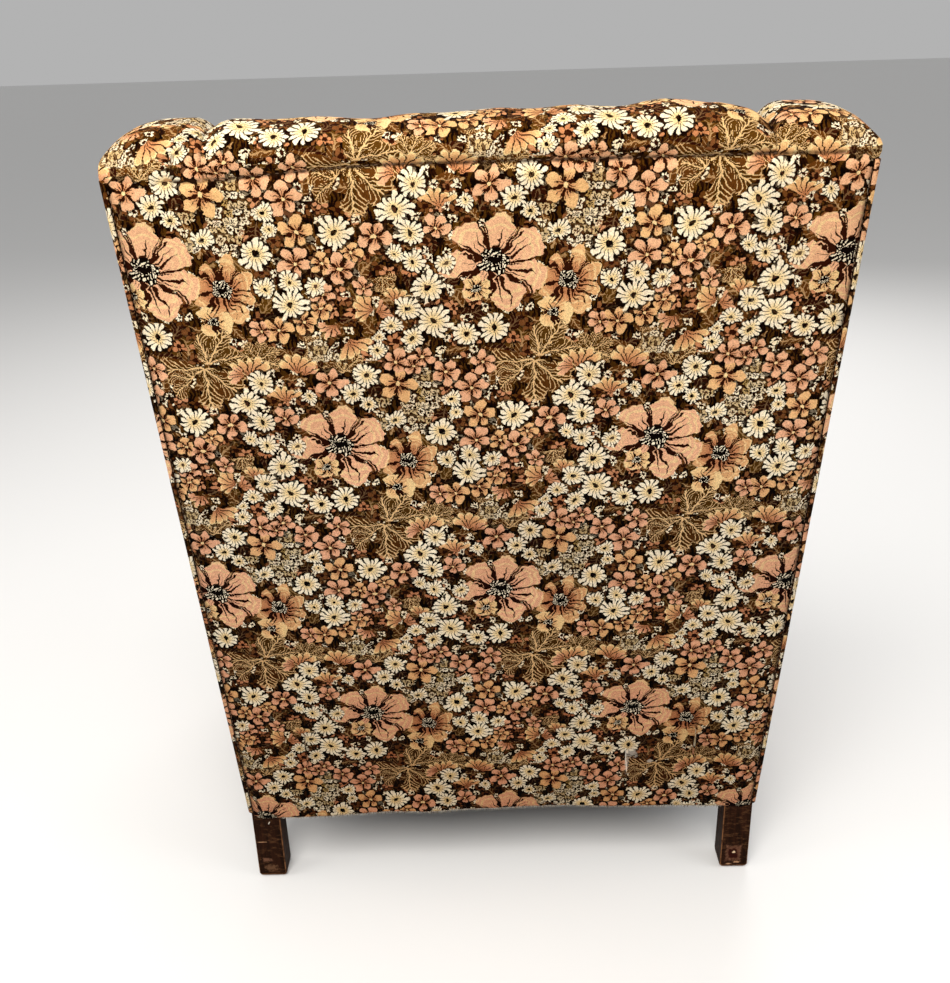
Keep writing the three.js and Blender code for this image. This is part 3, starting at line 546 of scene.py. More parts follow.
def paint_leaves(graph, colour, place):
    """Lobed leaves with pale veins, each lobe with its own midrib and side veins."""
    ring = graph.group(PETAL_RING, local=nearest(graph, colour, place, LEAVES), petals=8.0, notch=0.22,
                       ragged=0.14, spin=0.0)
    saw = graph.math("FRACT", graph.math("MULTIPLY", graph.math("SUBTRACT", ring["Reach"], graph.math(
        "MULTIPLY", ring["Side"], 0.8)), 7.0))
    teeth = graph.math("GREATER_THAN", ring["Rim"], graph.math("MULTIPLY", saw, 0.07))
    half_width = graph.math("MULTIPLY", ring["Side"], ring["Reach"])
    rib = graph.math("LESS_THAN", half_width, 0.02)
    side_vein = graph.math("LESS_THAN", saw, 0.24)
    side_vein = graph.math("MULTIPLY", side_vein, graph.math("LESS_THAN", ring["Side"], 0.42))
    edge = graph.math("LESS_THAN", ring["Rim"], graph.math("MULTIPLY_ADD", saw, 0.07, 0.035))
    line = graph.math("MAXIMUM", graph.math("MAXIMUM", rib, side_vein), graph.math("MULTIPLY", edge, 0.7))
    fill = graph.mix(graph.math("GREATER_THAN", ring["Pick"], 0.5), OLIVE, RUST)
    fill = graph.mix(graph.math("LESS_THAN", half_width, 0.10), fill, STEM)
    ahead = graph.math("LESS_THAN", graph.math("ABSOLUTE", graph.math("SUBTRACT", ring["Turns"], 50.5)), 2.5)
    mask = graph.math("MULTIPLY", graph.math("MULTIPLY", ring["Mask"], teeth), ahead)
    return graph.mix(mask, colour, graph.mix(line, fill, VEIN))


def paint_florets(graph, colour, place):
    """Patches of tiny outlined florets."""
    patch = graph.vector("LENGTH", nearest(graph, colour, place, FLORET_PATCHES))
    radius = 0.0055
    spot = graph.group(MOTIF_SCATTER, place=after(graph, place, colour), columns=39.0, rows=24.0,
                       stray=0.004, seed=9.0)
    ring = graph.group(PETAL_RING, local=graph.scale(spot["Local"], 1 / radius), petals=4.0, notch=0.55,
                       ragged=0.2)
    line = graph.math("MULTIPLY", ring["Mask"], graph.math("LESS_THAN", ring["Rim"], 0.42))
    inside = graph.math("LESS_THAN", patch, graph.math("MULTIPLY_ADD", spot["Tint"], 0.35, 0.75))
    tone = graph.mix(spot["Pick"], rgb(190, 164, 108), CREAM)
    colour = graph.mix(graph.math("MULTIPLY", inside, 0.7), colour, GROUND)
    return graph.mix(graph.math("MULTIPLY", line, inside), colour, tone)


def paint_tulips(graph, colour, place):
    """Half-open blossoms seen from the side: a few long petals with pale rims."""
    ring = graph.group(PETAL_RING, local=nearest(graph, colour, place, TULIPS), petals=13.0, notch=0.3,
                       ragged=0.22, spin=0.0)
    ahead = graph.math("LESS_THAN", graph.math("ABSOLUTE", graph.math("SUBTRACT", ring["Turns"], 50.5)), 2.4)
    tone = graph.mix(graph.math("GREATER_THAN", ring["Pick"], 0.55), PEACH, APRICOT)
    shade = graph.mix(graph.ramp(ring["Reach"], 0.2, 0.75), DEEP_PEACH, tone)
    shade = graph.mix(graph.math("LESS_THAN", ring["Rim"], 0.09), shade, BUTTER)
    gap = graph.math("GREATER_THAN", ring["Side"], graph.ramp(ring["Reach"], 0.2, 1.0, 0.34, 0.45))
    shade = graph.mix(gap, shade, MAROON)
    return graph.mix(graph.math("MULTIPLY", ring["Mask"], ahead), colour, shade)


def paint_blossoms(graph, colour, place):
    """Small blossoms of five round petals, peach or apricot, streaked at the heart."""
    ring = graph.group(PETAL_RING, local=nearest(graph, colour, place, BLOSSOMS), petals=5.0, notch=0.5,
                       ragged=0.3)
    tone = graph.mix(graph.math("GREATER_THAN", ring["Pick"], 0.7), PEACH, APRICOT)
    shade = graph.mix(graph.ramp(ring["Reach"], 0.15, 0.6), DEEP_PEACH, tone)
    fine = graph.math("ABSOLUTE", graph.math("SUBTRACT", graph.math("FRACT", graph.math(
        "MULTIPLY", ring["Turns"], 3.0)), 0.5))
    streak = graph.math("LESS_THAN", fine, graph.ramp(ring["Reach"], 0.15, 0.55, 0.3, 0.0))
    gap = graph.math("GREATER_THAN", ring["Side"], graph.ramp(ring["Reach"], 0.1, 0.9, 0.36, 0.44))
    shade = graph.mix(graph.math("MAXIMUM", streak, gap), shade, MAROON)
    shade = graph.mix(graph.math("LESS_THAN", ring["Reach"], 0.1), shade, BUTTER)
    return graph.mix(ring["Mask"], dark_bed(graph, colour, ring, 0.92, 0.75), shade)


def paint_bloom(graph, colour, place, spot, petals, pale, deep, seed):
    """A broad open bloom: ragged petals, dark tapering streaks, pale lines near the tips and a ring of stamens."""
    local = nearest(graph, colour, place, (spot,))
    rough = graph.scale(graph.vector("SUBTRACT", graph.noise_colour(local, 2.6, 2.0), (0.5, 0.5, 0.5)), 0.3)
    local = graph.vector("ADD", local, graph.vector("MULTIPLY", rough, (1, 1, 0)))
    local = graph.vector("ADD", local, (0, 0, seed))
    ring = graph.group(PETAL_RING, local=local, petals=petals, notch=0.34, ragged=0.22)
    fine = graph.math("MULTIPLY", ring["Turns"], 4.0)
    luck = graph.node("ShaderNodeTexWhiteNoise", noise_dimensions="1D")
    graph.feed(luck.inputs["W"], graph.math("FLOOR", fine))
    wide = graph.math("ABSOLUTE", graph.math("SUBTRACT", graph.math("FRACT", fine), 0.5))
    tip = graph.ramp(luck.outputs["Value"], 0.0, 1.0, 0.32, 0.95)
    streak = graph.math("LESS_THAN", wide, graph.math("MULTIPLY", graph.math("SUBTRACT", tip, ring["Reach"]), 0.7))
    arcs = graph.math("SINE", graph.math("MULTIPLY_ADD", ring["Reach"], 46.0, graph.math(
        "MULTIPLY", ring["Side"], 9.0)))
    arcs = graph.math("MULTIPLY", graph.math("GREATER_THAN", arcs, 0.45), graph.ramp(ring["Reach"], 0.45, 0.65))
    shade = graph.mix(graph.ramp(ring["Reach"], 0.35, 0.95), deep, pale)
    shade = graph.mix(graph.math("MULTIPLY", arcs, 0.7), shade, BUTTER)
    gap = graph.math("GREATER_THAN", ring["Side"], graph.ramp(ring["Reach"], 0.3, 0.9, 0.42, 0.475))
    shade = graph.mix(graph.math("MAXIMUM", streak, gap), shade, MAROON)
    dots = graph.math("MULTIPLY", graph.math("SINE", graph.math("MULTIPLY", ring["Turns"], 2 * math.pi * 2.0)),
                      graph.math("SINE", graph.math("MULTIPLY", ring["Reach"], 52.0)))
    heart = graph.math("LESS_THAN", ring["Reach"], 0.25)
    shade = graph.mix(heart, shade, NEAR_BLACK)
    round_eye = graph.math("GREATER_THAN", ring["Reach"], 0.1)
    dots = graph.math("MULTIPLY", graph.math("GREATER_THAN", dots, 0.3), round_eye)
    shade = graph.mix(graph.math("MULTIPLY", dots, heart), shade, CREAM)
    return graph.mix(ring["Mask"], colour, shade)


def paint_daisies(graph, colour, place):
    """Cream daisies: thin separate petals of uneven length round a dark eye, on a dark bed."""
    ring = graph.group(PETAL_RING, local=nearest(graph, colour, place, DAISIES), petals=14.0, notch=0.2,
                       ragged=0.34)
    colour = dark_bed(graph, colour, ring, 0.9, 0.85)
    petal = graph.math("LESS_THAN", ring["Side"], graph.ramp(ring["Reach"], 0.25, 1.0, 0.44, 0.3))
    petal = graph.math("MULTIPLY", petal, graph.math("GREATER_THAN", ring["Reach"], 0.17))
    shade = graph.mix(graph.ramp(ring["Reach"], 0.25, 0.6), BUTTER, CREAM)
    return graph.mix(graph.math("MULTIPLY", ring["Mask"], petal), colour, shade)


def make_floral_print():
    """The whole woven pattern, from the dark leaves of its ground to the daisies on top."""
    graph, given, out = node_group("floral_cloth", {"Cloth": "vector"}, {"Color": "color"})
    place = graph.group(PRINT_PLACE, cloth=given["Cloth"])["Place"]
    strokes = graph.noise(graph.vector("MULTIPLY", place, (330.0, 60.0, 0)), 1.0, 2.0, dimensions="2D")
    colour = graph.mix(graph.math("GREATER_THAN", strokes, 0.52), GROUND, STEM)
    colour = graph.mix(graph.math("LESS_THAN", strokes, 0.42), colour, NEAR_BLACK)
    colour = paint_small_leaves(graph, colour, place)
    colour = paint_fillers(graph, colour, place)
    colour = paint_leaves(graph, colour, place)
    colour = paint_florets(graph, colour, place)
    colour = paint_tulips(graph, colour, place)
    colour = paint_blossoms(graph, colour, place)
    colour = paint_bloom(graph, colour, place, (58, -56, 22, 0), 3.0, BUTTER, APRICOT, 0.041)
    colour = paint_bloom(graph, colour, place, (73, -22, 39, 0), 8.0, APRICOT, DEEP_PEACH, 0.007)
    colour = paint_bloom(graph, colour, place, (0, 0, 56, 0), 7.0, PEACH, PEACH, 0.003)
    colour = paint_bloom(graph, colour, place, (-18, -28, 17, 0), 6.0, BUTTER, APRICOT, 0.015)
    colour = paint_daisies(graph, colour, place)
    graph.feed(out["Color"], colour)
    return graph.tree


FLORAL = make_floral_print()

# Where the left wing's pleat comes down to the crest seam
PLEAT_X = 0.3004
PLEAT_DEPTH = 0.045  # the pleat and the painted shade round it lie behind this depth of the back
DIMPLE_UP = 0.9084

# Grey rubbed places low on the outside back
SCUFFS = (
    (tuple(placed(-0.1800, *on_back(0.112, 0.0))), (0.009, 0.020, 0.012), 0.42),
    (tuple(placed(-0.1740, *on_back(0.092, 0.0))), (0.0035, 0.020, 0.022), 0.35),
    (tuple(placed(-0.2059, *on_back(0.094, 0.0))), (0.005, 0.015, 0.004), 0.45))


def make_rubbed_spot():
    """How strongly a spot is rubbed: one near its middle, with a broken edge."""
    graph, given, out = node_group("rubbed_spot", {"Place": "vector", "Middle": "vector", "Size": "vector",
                                                   "Grain": 260.0, "Square": 0.0}, {"Mask": "value"})
    offset = graph.vector("DIVIDE", graph.vector("SUBTRACT", given["Place"], given["Middle"]), given["Size"])
    sides = graph.split(graph.vector("ABSOLUTE", offset))
    boxed = graph.math("MAXIMUM", graph.math("MAXIMUM", sides[0], sides[1]), sides[2])
    away = graph.vector("LENGTH", offset)
    away = graph.math("MULTIPLY_ADD", graph.math("SUBTRACT", boxed, away), given["Square"], away)
    broken = graph.noise(given["Place"], given["Grain"], 3.0, 0.7)
    edge = graph.math("ADD", away, graph.math("MULTIPLY", graph.math("SUBTRACT", broken, 0.5), graph.math(
        "SUBTRACT", 2.4, graph.math("MULTIPLY", given["Square"], 1.6))))
    graph.feed(out["Mask"], graph.ramp(edge, 0.5, 1.0, 1.0, 0.0))
    return graph.tree


RUBBED_SPOT = make_rubbed_spot()


def painted_seam_shade(graph, colour, place):
    """Painted shade along the crest seam, in its dimple and in the pleat that rises from it."""
    x, y, z = graph.split(place)
    slope = math.cos(BACK_RAKE)
    seam = graph.ramp(x, 0.08, 0.30, LEG_HEIGHT + slope * (SEAM_LENGTH + 0.0090), LEG_HEIGHT + slope * (
        SEAM_LENGTH - 0.0015), smooth_step=True)
    line = graph.ramp(graph.math("ABSOLUTE", graph.math("SUBTRACT", z, seam)), 0.0007, 0.0028, 1.0, 0.0)
    line = graph.math("MULTIPLY", line, graph.math("LESS_THAN", x, PLEAT_X))
    up = graph.math("DIVIDE", graph.math("SUBTRACT", z, LEG_HEIGHT), slope)
    pleat = graph.ramp(up, 0.925, 0.960, PLEAT_X, PLEAT_X - 0.034, smooth_step=True)
    fold = graph.ramp(graph.math("ABSOLUTE", graph.math("SUBTRACT", x, pleat)), 0.0006, 0.0030, 1.0, 0.0)
    fold = graph.math("MULTIPLY", fold, graph.ramp(up, 0.900, 0.909))
    behind = graph.math("GREATER_THAN", y, on_back(SEAM_LENGTH, PLEAT_DEPTH)[0])
    patchy = graph.ramp(graph.noise(place, 90.0), 0.35, 0.6, 0.35, 0.9)
    # where the painted shade goes: a thin dark line along the seam and down the pleat, broken into patches
    mask = graph.math("MULTIPLY", graph.math("MULTIPLY", graph.math("MAXIMUM", line, fold), behind), patchy)
    return graph.mix(mask, colour, rgb(40, 22, 10))


def tapestry(name):
    """The floral cloth with weave, flecks and patchy soil; painted shade low down, painted light towards the top.
    """
    material = bpy.data.materials.new(name)
    material.use_nodes = True
    graph = Graph(material.node_tree)
    shader = material.node_tree.nodes["Principled BSDF"]
    cloth = graph.node("ShaderNodeUVMap", uv_map="cloth").outputs[0]
    place = graph.node("ShaderNodeTexCoord").outputs["Object"]
    colour = graph.group(FLORAL, cloth=cloth)["Color"]
    fleck = graph.group(WEAVE, cloth=after(graph, cloth, colour))["Fleck"]
    colour = graph.mix(0.6, colour, graph.mix(fleck, rgb(160, 148, 136), rgb(255, 252, 244)), "MULTIPLY")
    spot = graph.split(after(graph, place, colour))
    height = spot[2]
    # a gamma that deepens the colours: a little overall, and much more towards the bottom as painted shade
    contrast_and_painted_low_shade = graph.node("ShaderNodeGamma")
    graph.feed(contrast_and_painted_low_shade.inputs["Gamma"], graph.ramp(height, 0.16, 0.95, 1.56, 1.16))
    graph.feed(contrast_and_painted_low_shade.inputs["Color"], colour)
    colour = contrast_and_painted_low_shade.outputs[0]
    # painted light: paler and warmer towards the top
    painted_top_light = graph.math("MULTIPLY", graph.ramp(height, 0.60, 1.05), 0.5)
    colour = graph.mix(painted_top_light, colour, rgb(240, 206, 160), "SOFT_LIGHT")
    # painted shade: darker towards the bottom
    colour = graph.mix(graph.ramp(height, 0.80, 0.15, 0.0, 0.4), colour, rgb(162, 150, 146), "MULTIPLY")
    # patchy soil at random, not tied to height
    soil = graph.ramp(graph.noise(after(graph, place, colour), 5.0, 4.0, 0.6), 0.45, 0.75, 0.0, 0.3)
    colour = graph.mix(soil, colour, rgb(166, 136, 108), "MULTIPLY")
    # painted shade in the crest seam and the wing's pleat
    colour = painted_seam_shade(graph, colour, after(graph, place, colour))
    for middle, size, strength in SCUFFS:
        mask = graph.group(RUBBED_SPOT, place=after(graph, place, colour), middle=middle, size=size)["Mask"]
        colour = graph.mix(graph.math("MULTIPLY", mask, strength), colour, rgb(196, 184, 168))
    graph.feed(shader.inputs["Base Color"], colour)
    shader.inputs["Roughness"].default_value = 0.92
    shader.inputs["Specular IOR Level"].default_value = 0.02
    bump = graph.node("ShaderNodeBump")
    bump.inputs["Strength"].default_value = 0.5
    bump.inputs["Distance"].default_value = 0.0006
    graph.feed(bump.inputs["Height"], graph.group(WEAVE, cloth=cloth)["Height"])
    graph.feed(shader.inputs["Normal"], bump.outputs[0])
    return material


def plain_cloth(name, light, dark, thread):
    material = bpy.data.materials.new(name)
    material.use_nodes = True
    graph = Graph(material.node_tree)
    shader = material.node_tree.nodes["Principled BSDF"]
    place = graph.node("ShaderNodeTexCoord").outputs["Object"]
    weave = graph.group(WEAVE, cloth=place, thread=thread)
    blotch = graph.noise(place, 9.0, 4.0)
    graph.feed(shader.inputs["Base Color"],
               graph.mix(graph.math("MULTIPLY_ADD", weave["Fleck"], 0.5, graph.math("MULTIPLY", blotch, 0.5)),
                         dark, light))
    shader.inputs["Roughness"].default_value = 0.95
    bump = graph.node("ShaderNodeBump")
    bump.inputs["Strength"].default_value = 0.5
    bump.inputs["Distance"].default_value = 0.0008
    graph.feed(bump.inputs["Height"], weave["Height"])
    graph.feed(shader.inputs["Normal"], bump.outputs[0])
    return material


def timber(name, dark, light, worn, roughness, marks=()):
    """Grain that runs up the piece, rubbed where the mesh marks wear, with a few marks of its own."""
    material = bpy.data.materials.new(name)
    material.use_nodes = True
    graph = Graph(material.node_tree)
    shader = material.node_tree.nodes["Principled BSDF"]
    place = graph.node("ShaderNodeTexCoord").outputs["Object"]
    stretch = graph.vector("MULTIPLY", place, (1.0, 1.0, 0.07))
    grain = graph.noise(stretch, 190.0, 4.0, 0.6)
    colour = graph.mix(graph.ramp(grain, 0.35, 0.7), dark, light)
    colour = graph.mix(graph.ramp(graph.noise(stretch, 40.0, 3.0), 0.45, 0.7, 0.0, 0.5), colour, dark)
    edge = graph.node("ShaderNodeAttribute", attribute_name="wear").outputs["Fac"]
    broken = graph.noise(place, 140.0, 4.0, 0.7)
    rub = graph.math("MULTIPLY", edge, graph.ramp(broken, 0.34, 0.56))
    colour = graph.mix(graph.math("MULTIPLY", rub, 0.9), colour, worn)
    patches = graph.noise(graph.vector("MULTIPLY", place, (1.0, 1.0, 3.0)), 75.0, 5.0, 0.75)
    scuffed = graph.ramp(patches, 0.52, 0.70)
    colour = graph.mix(graph.math("MULTIPLY", scuffed, 0.4), colour, worn)
    for middle, size, grain_size, square, tone in marks:
        mark = graph.group(RUBBED_SPOT, place=place, middle=middle, size=size, grain=grain_size, square=square)
        colour = graph.mix(mark["Mask"], colour, tone)
    graph.feed(shader.inputs["Base Color"], colour)
    graph.feed(shader.inputs["Roughness"], graph.ramp(graph.math("ADD", grain, graph.math("MULTIPLY", rub, 0.5)),
                                                      0.3, 1.0, roughness - 0.06, roughness + 0.2))
    bump = graph.node("ShaderNodeBump")
    shader.inputs["Specular IOR Level"].default_value = 0.02
    bump.inputs["Strength"].default_value = 0.35
    bump.inputs["Distance"].default_value = 0.0006
    graph.feed(bump.inputs["Height"], grain)
    graph.feed(shader.inputs["Normal"], bump.outputs[0])
    return material


def steel(name):
    material = bpy.data.materials.new(name)
    material.use_nodes = True
    graph = Graph(material.node_tree)
    shader = material.node_tree.nodes["Principled BSDF"]
    place = graph.node("ShaderNodeTexCoord").outputs["Object"]
    tarnish = graph.ramp(graph.noise(place, 70.0, 4.0, 0.7), 0.45, 0.65)
    graph.feed(shader.inputs["Base Color"], graph.mix(tarnish, rgb(142, 138, 130), rgb(92, 62, 44)))
    graph.feed(shader.inputs["Metallic"], graph.ramp(tarnish, 0, 1, 0.95, 0.3))
    graph.feed(shader.inputs["Roughness"], graph.ramp(tarnish, 0, 1, 0.38, 0.8))
    return material


TAPESTRY = tapestry("floral_tapestry")
LEG_MARKS = (  # middle, size, grain of the broken edge, how square, colour
    ((-0.3388, REAR_Y + 0.005, 0.0255), (0.0120, 0.03, 0.0150), 240.0, 1.0, rgb(128, 88, 66)),
    ((-0.3382, REAR_Y + 0.005, 0.0245), (0.0108, 0.03, 0.0138), 200.0, 1.0, rgb(40, 12, 6)),
    ((-0.3393, REAR_Y + 0.005, 0.0275), (0.0030, 0.03, 0.0022), 200.0, 0.0, rgb(206, 176, 140)),
    ((-0.3440, REAR_Y + 0.006, 0.0095), (0.0060, 0.03, 0.0018), 260.0, 0.0, rgb(160, 120, 88)),
    ((-0.3330, REAR_Y + 0.006, 0.0065), (0.0050, 0.03, 0.0014), 260.0, 0.0, rgb(150, 112, 82)),
    ((0.3522, REAR_Y + 0.003, 0.0618), (0.0080, 0.03, 0.0010), 120.0, 0.0, rgb(140, 104, 76)),
    ((0.3470, REAR_Y + 0.004, 0.0300), (0.0080, 0.03, 0.0040), 260.0, 0.0, rgb(92, 62, 46)),
    ((0.3420, REAR_Y + 0.004, 0.0150), (0.0120, 0.03, 0.0060), 260.0, 0.0, rgb(84, 58, 40)))
STAINED = timber("stained_hardwood", rgb(20, 8, 3), rgb(44, 22, 11), rgb(116, 78, 50), 0.5, LEG_MARKS)
BARE = timber("bare_hardwood", rgb(134, 98, 62), rgb(186, 148, 104), rgb(110, 80, 52), 0.75)
HESSIAN = plain_cloth("hessian", rgb(186, 160, 118), rgb(120, 98, 66), 0.0016)
CAMBRIC = plain_cloth("black_cambric", rgb(52, 48, 45), rgb(22, 20, 20), 0.0009)
STEEL = steel("spring_steel")
THREAD_PALE = plain_cloth("pale_thread", rgb(236, 228, 212), rgb(190, 180, 160), 0.0006)
THREAD_BROWN = plain_cloth("brown_thread", rgb(112, 84, 58), rgb(66, 46, 32), 0.0006)


# Camera, light and floor

def look(place, pitch, yaw, roll):
    """A turn that looks along -Y and down by the pitch, with the frame's own roll."""
    forward = Vector((math.sin(yaw) * math.cos(pitch), -math.cos(yaw) * math.cos(pitch), -math.sin(pitch)))
    right = forward.cross(Vector((0, 0, 1))).normalized()
    up = right.cross(forward)
    right_rolled = right * math.cos(roll) + up * math.sin(roll)
    up_rolled = up * math.cos(roll) - right * math.sin(roll)
    turn = Matrix((right_rolled, up_rolled, -forward)).transposed().to_4x4()
    return Matrix.Translation(place) @ turn


def add_camera():
    data = bpy.data.cameras.new("camera")
    data.sensor_width = 36.0
    data.lens = 1028 / 983 * 36.0
    camera = bpy.data.objects.new("camera", data)
    bpy.context.scene.collection.objects.link(camera)
    camera.matrix_world = look(Vector((0.006, 1.170 + REAR_Y, 1.129)),
                               math.radians(23.75), math.radians(0.87), math.radians(-1.75))
    bpy.context.scene.camera = camera


def add_light(name, place, size, power, colour):
    data = bpy.data.lights.new(name, "AREA")
    data.energy = power
    data.size = size
    data.color = colour
    light = bpy.data.objects.new(name, data)
    bpy.context.scene.collection.objects.link(light)
    aim = Vector((0, 0, 0.55)) - Vector(place)
    light.matrix_world = Matrix.Translation(place) @ aim.to_track_quat("-Z", "Y").to_matrix().to_4x4()


def add_studio():
    add_light("over_back", (0.4, 1.9, 2.6), 1.5, 81, (1.0, 0.97, 0.93))
    add_light("from_left", (2.6, 0.6, 2.2), 2.0, 31, (1.0, 0.98, 0.95))
    add_light("from_right", (-2.6, 0.8, 2.2), 2.0, 27, (0.96, 0.98, 1.0))
    add_light("from_front", (-0.6, -2.8, 2.4), 2.2, 52, (1.0, 0.98, 0.96))
    world = bpy.data.worlds.new("room")
    world.use_nodes = True
    world.node_tree.nodes["Background"].inputs["Color"].default_value = (0.9, 0.9, 0.9, 1)
    world.node_tree.nodes["Background"].inputs["Strength"].default_value = 0.5
    bpy.context.scene.world = world
    bpy.ops.mesh.primitive_plane_add(size=80, location=(0, 0, -0.0005))
    floor = bpy.context.object
    floor.name = "floor"
    material = bpy.data.materials.new("pale_floor")
    material.use_nodes = True
    shader = material.node_tree.nodes["Principled BSDF"]
    shader.inputs["Base Color"].default_value = (0.76, 0.755, 0.745, 1)
    shader.inputs["Roughness"].default_value = 0.9
    floor.data.materials.append(material)


add_camera()
add_studio()
bpy.context.scene.view_settings.view_transform = "Standard"


# Outlines of the wing, shared by its pad and its side cover

def wing_edge(inset, bottom, steps=24):
    rear = on_back_at(ARM_TOP, PAD_REAR_DEPTH)[0]
    foot = (rear - WING_REACH + inset, bottom)
    head = on_back(WING_LENGTH - inset, WING_TOP_DEPTH)
    rise = head[1] - foot[1]
    run = head[0] - foot[0]
    first = (foot[0] - run * 0.02, foot[1] + rise * 0.42)
    second = (head[0] - run * 0.62, head[1] - rise * 0.06)
    points = []
    for i in range(steps + 1):
        t = i / steps
        weights = ((1 - t) ** 3, 3 * t * (1 - t) ** 2, 3 * t * t * (1 - t), t ** 3)
        points.append(tuple(sum(w * p[k] for w, p in zip(weights, (foot, first, second, head))) for k in (0, 1)))
    return points


def over_the_top(inset, bottom, seam):
    """Round a wing from its foot at the arm, up the front edge, over the top and down to the rear seam."""
    top = WING_LENGTH - inset
    crown = (top - seam) * 0.92
    roll = []
    for i in range(9):
        angle = math.pi / 2 * (1 - i / 8)
        roll.append(on_back(top - crown * (1 - math.sin(angle)), crown * (1 - math.cos(angle)) * 1.05))
    return wing_edge(inset, bottom) + roll + [on_back(seam, -0.0008), on_back(seam - 0.003, 0.003),
                                              on_back(seam - 0.014, 0.005)]


# Padded pieces

def wing_pad(name, seam, pleated=False):
    """Inside face, rolled edge and outer margin of a wing in one cover, hooked over the head of its post."""
    def pleat(x, y, z):
        """A pucker from the notch beside the crest down to the end of the seam."""
        up = (z - LEG_HEIGHT) / math.cos(BACK_RAKE)
        if not pleated or up < 0.89 or y < on_back_at(z, PLEAT_DEPTH)[0]:
            return Vector((0, 0, 0))
        line = PLEAT_X - 0.034 * smooth((up - 0.925) / 0.035)
        crease = 0.0065 * math.exp(-((x - line) / 0.0045) ** 2)
        fold = 0.0030 * math.exp(-((x - line - 0.011) / 0.006) ** 2)
        return Vector((0, fold - crease, 0))

    round_width, round_height, soft_edge = 0.066, 0.040, 0.020
    rows, stations = 92, 30
    outer = SIDE_X - 0.0006

    def inset(x):
        inward = min(1.0, max(0.0, (ARM_INNER_X + soft_edge - x) / soft_edge))
        outward = min(1.0, max(0.0, (x - (outer - round_width + 0.006)) / round_width))
        return soft_edge * (1 - math.sqrt(1 - inward ** 2)) + round_height * (1 - math.sqrt(1 - outward ** 2))

    shares = [0.5 - 0.5 * math.cos(math.pi * i / (stations - 1)) for i in range(stations)]
    rings = []
    for share in shares:
        x = ARM_INNER_X + share * (outer - ARM_INNER_X)
        path, length = even_path(rounded_path(over_the_top(inset(x), ARM_TOP + 0.0003, seam), 2), rows)
        rings.append((x, path, length))
    spine = [on_back_at(ARM_TOP + 0.0003, PAD_REAR_DEPTH), on_back(SEAM_LENGTH + 0.0006, PAD_REAR_DEPTH)]
    inner_steps, outer_steps = 16, 10
    points = np.zeros((rows, inner_steps + stations + outer_steps, 3))
    cloth = np.zeros((rows, inner_steps + stations + outer_steps, 2))
    for i in range(rows):
        up = i / (rows - 1)
        y0 = spine[0][0] + (spine[1][0] - spine[0][0]) * min(1, up * 1.25)
        z0 = spine[0][1] + (spine[1][1] - spine[0][1]) * min(1, up * 1.25)
        edge = rings[0][1][i]
        line = []
        for j in range(inner_steps):
            t = j / inner_steps
            crown = 0.009 * math.sin(math.pi * t) * math.sin(math.pi * min(1, max(0, up)))
            y, z = y0 + (edge[0] - y0) * t, z0 + (edge[1] - z0) * t
            line.append((ARM_INNER_X - crown, y, z))
        for x, path, _ in rings:
            line.append((x, path[i][0], path[i][1]))
        rim = rings[-1][1][i]
        inside = np.array([y0, z0]) - rim
        reach = np.linalg.norm(inside)
        for j in range(1, outer_steps + 1):
            t = PANEL_INSET * 1.05 * j / outer_steps / max(reach, 0.04)
            t = min(t, 0.85 * j / outer_steps)
            line.append((outer, rim[0] + inside[0] * t, rim[1] + inside[1] * t))
        line = np.array(line)
        run = np.concatenate([[0], np.cumsum(np.linalg.norm(np.diff(line, axis=0), axis=1))])
        points[i] = line
        cloth[i, :, 0] = 0.11 - run + run[inner_steps]
        cloth[i, :, 1] = 0.47 + rings[len(rings) // 2][2] * up

    def place(i, j):
        x, y, z = points[i, j]
        soft = ripple((x, y, z), 0.05, 3) * 0.0016 + ripple((x, y, z), 0.12, 5) * 0.002
        if j >= inner_steps + stations:
            side = 0
        else:
            side = soft if j > inner_steps + 3 else -soft
        return placed(x + side, y - soft, z + soft * 0.6) + pleat(x, y, z)

    length = rings[len(rings) // 2][2]
    crown = int(rows * (1 - 0.088 / length))
    return surface(name, rows, inner_steps + stations + outer_steps, place, lambda i, j: cloth[i, j],
                   other=lambda i, j: (points[i, j, 0], seam - 0.014 + length * (1 - i / (rows - 1))),
                   other_rows=range(crown, rows - 1))


def arm_pad():
    """Inner side, rounded top and outer margin of an arm, from the deck round to the blind seam."""
    rear = on_back_at(ARM_TOP, PAD_REAR_DEPTH)[0] - 0.002
    section = [(ARM_INNER_X, 0.221), (ARM_INNER_X - 0.004, 0.40), (ARM_INNER_X, ARM_TOP - ARM_ROUND)]
    for i in range(9):
        angle = math.pi - math.pi / 2 * i / 8
        section.append((ARM_INNER_X + ARM_ROUND + ARM_ROUND * math.cos(angle),
                        ARM_TOP - ARM_ROUND + ARM_ROUND * math.sin(angle)))
    for i in range(9):
        angle = math.pi / 2 - math.pi / 2 * i / 8
        section.append((SIDE_X - ARM_ROUND + ARM_ROUND * math.cos(angle),
                        ARM_TOP - ARM_ROUND + ARM_ROUND * math.sin(angle)))
    section.append((SIDE_X, ARM_TOP - ARM_ROLL_DROP - 0.002))
    path, length = even_path(section, 74)
    rows = 72

    def place(i, j):
        y = rear + (FRONT + 0.0006 - rear) * i / (rows - 1)
        x, z = path[j]
        top = smooth((z - ARM_TOP + 0.05) / 0.05)
        worn = -0.006 * top * math.sin(math.pi * i / (rows - 1)) ** 2
        soft = ripple((x, y, z), 0.06, 2) * 0.002
        return placed(x - (0.002 + soft if x < ARM_INNER_X + 0.01 else 0), y, z + worn + soft * top)

    return surface("arm_left", rows, 74, place,
                   lambda i, j: (rear + (FRONT - rear) * i / (rows - 1), 0.2 + length * j / 73), flip=True)


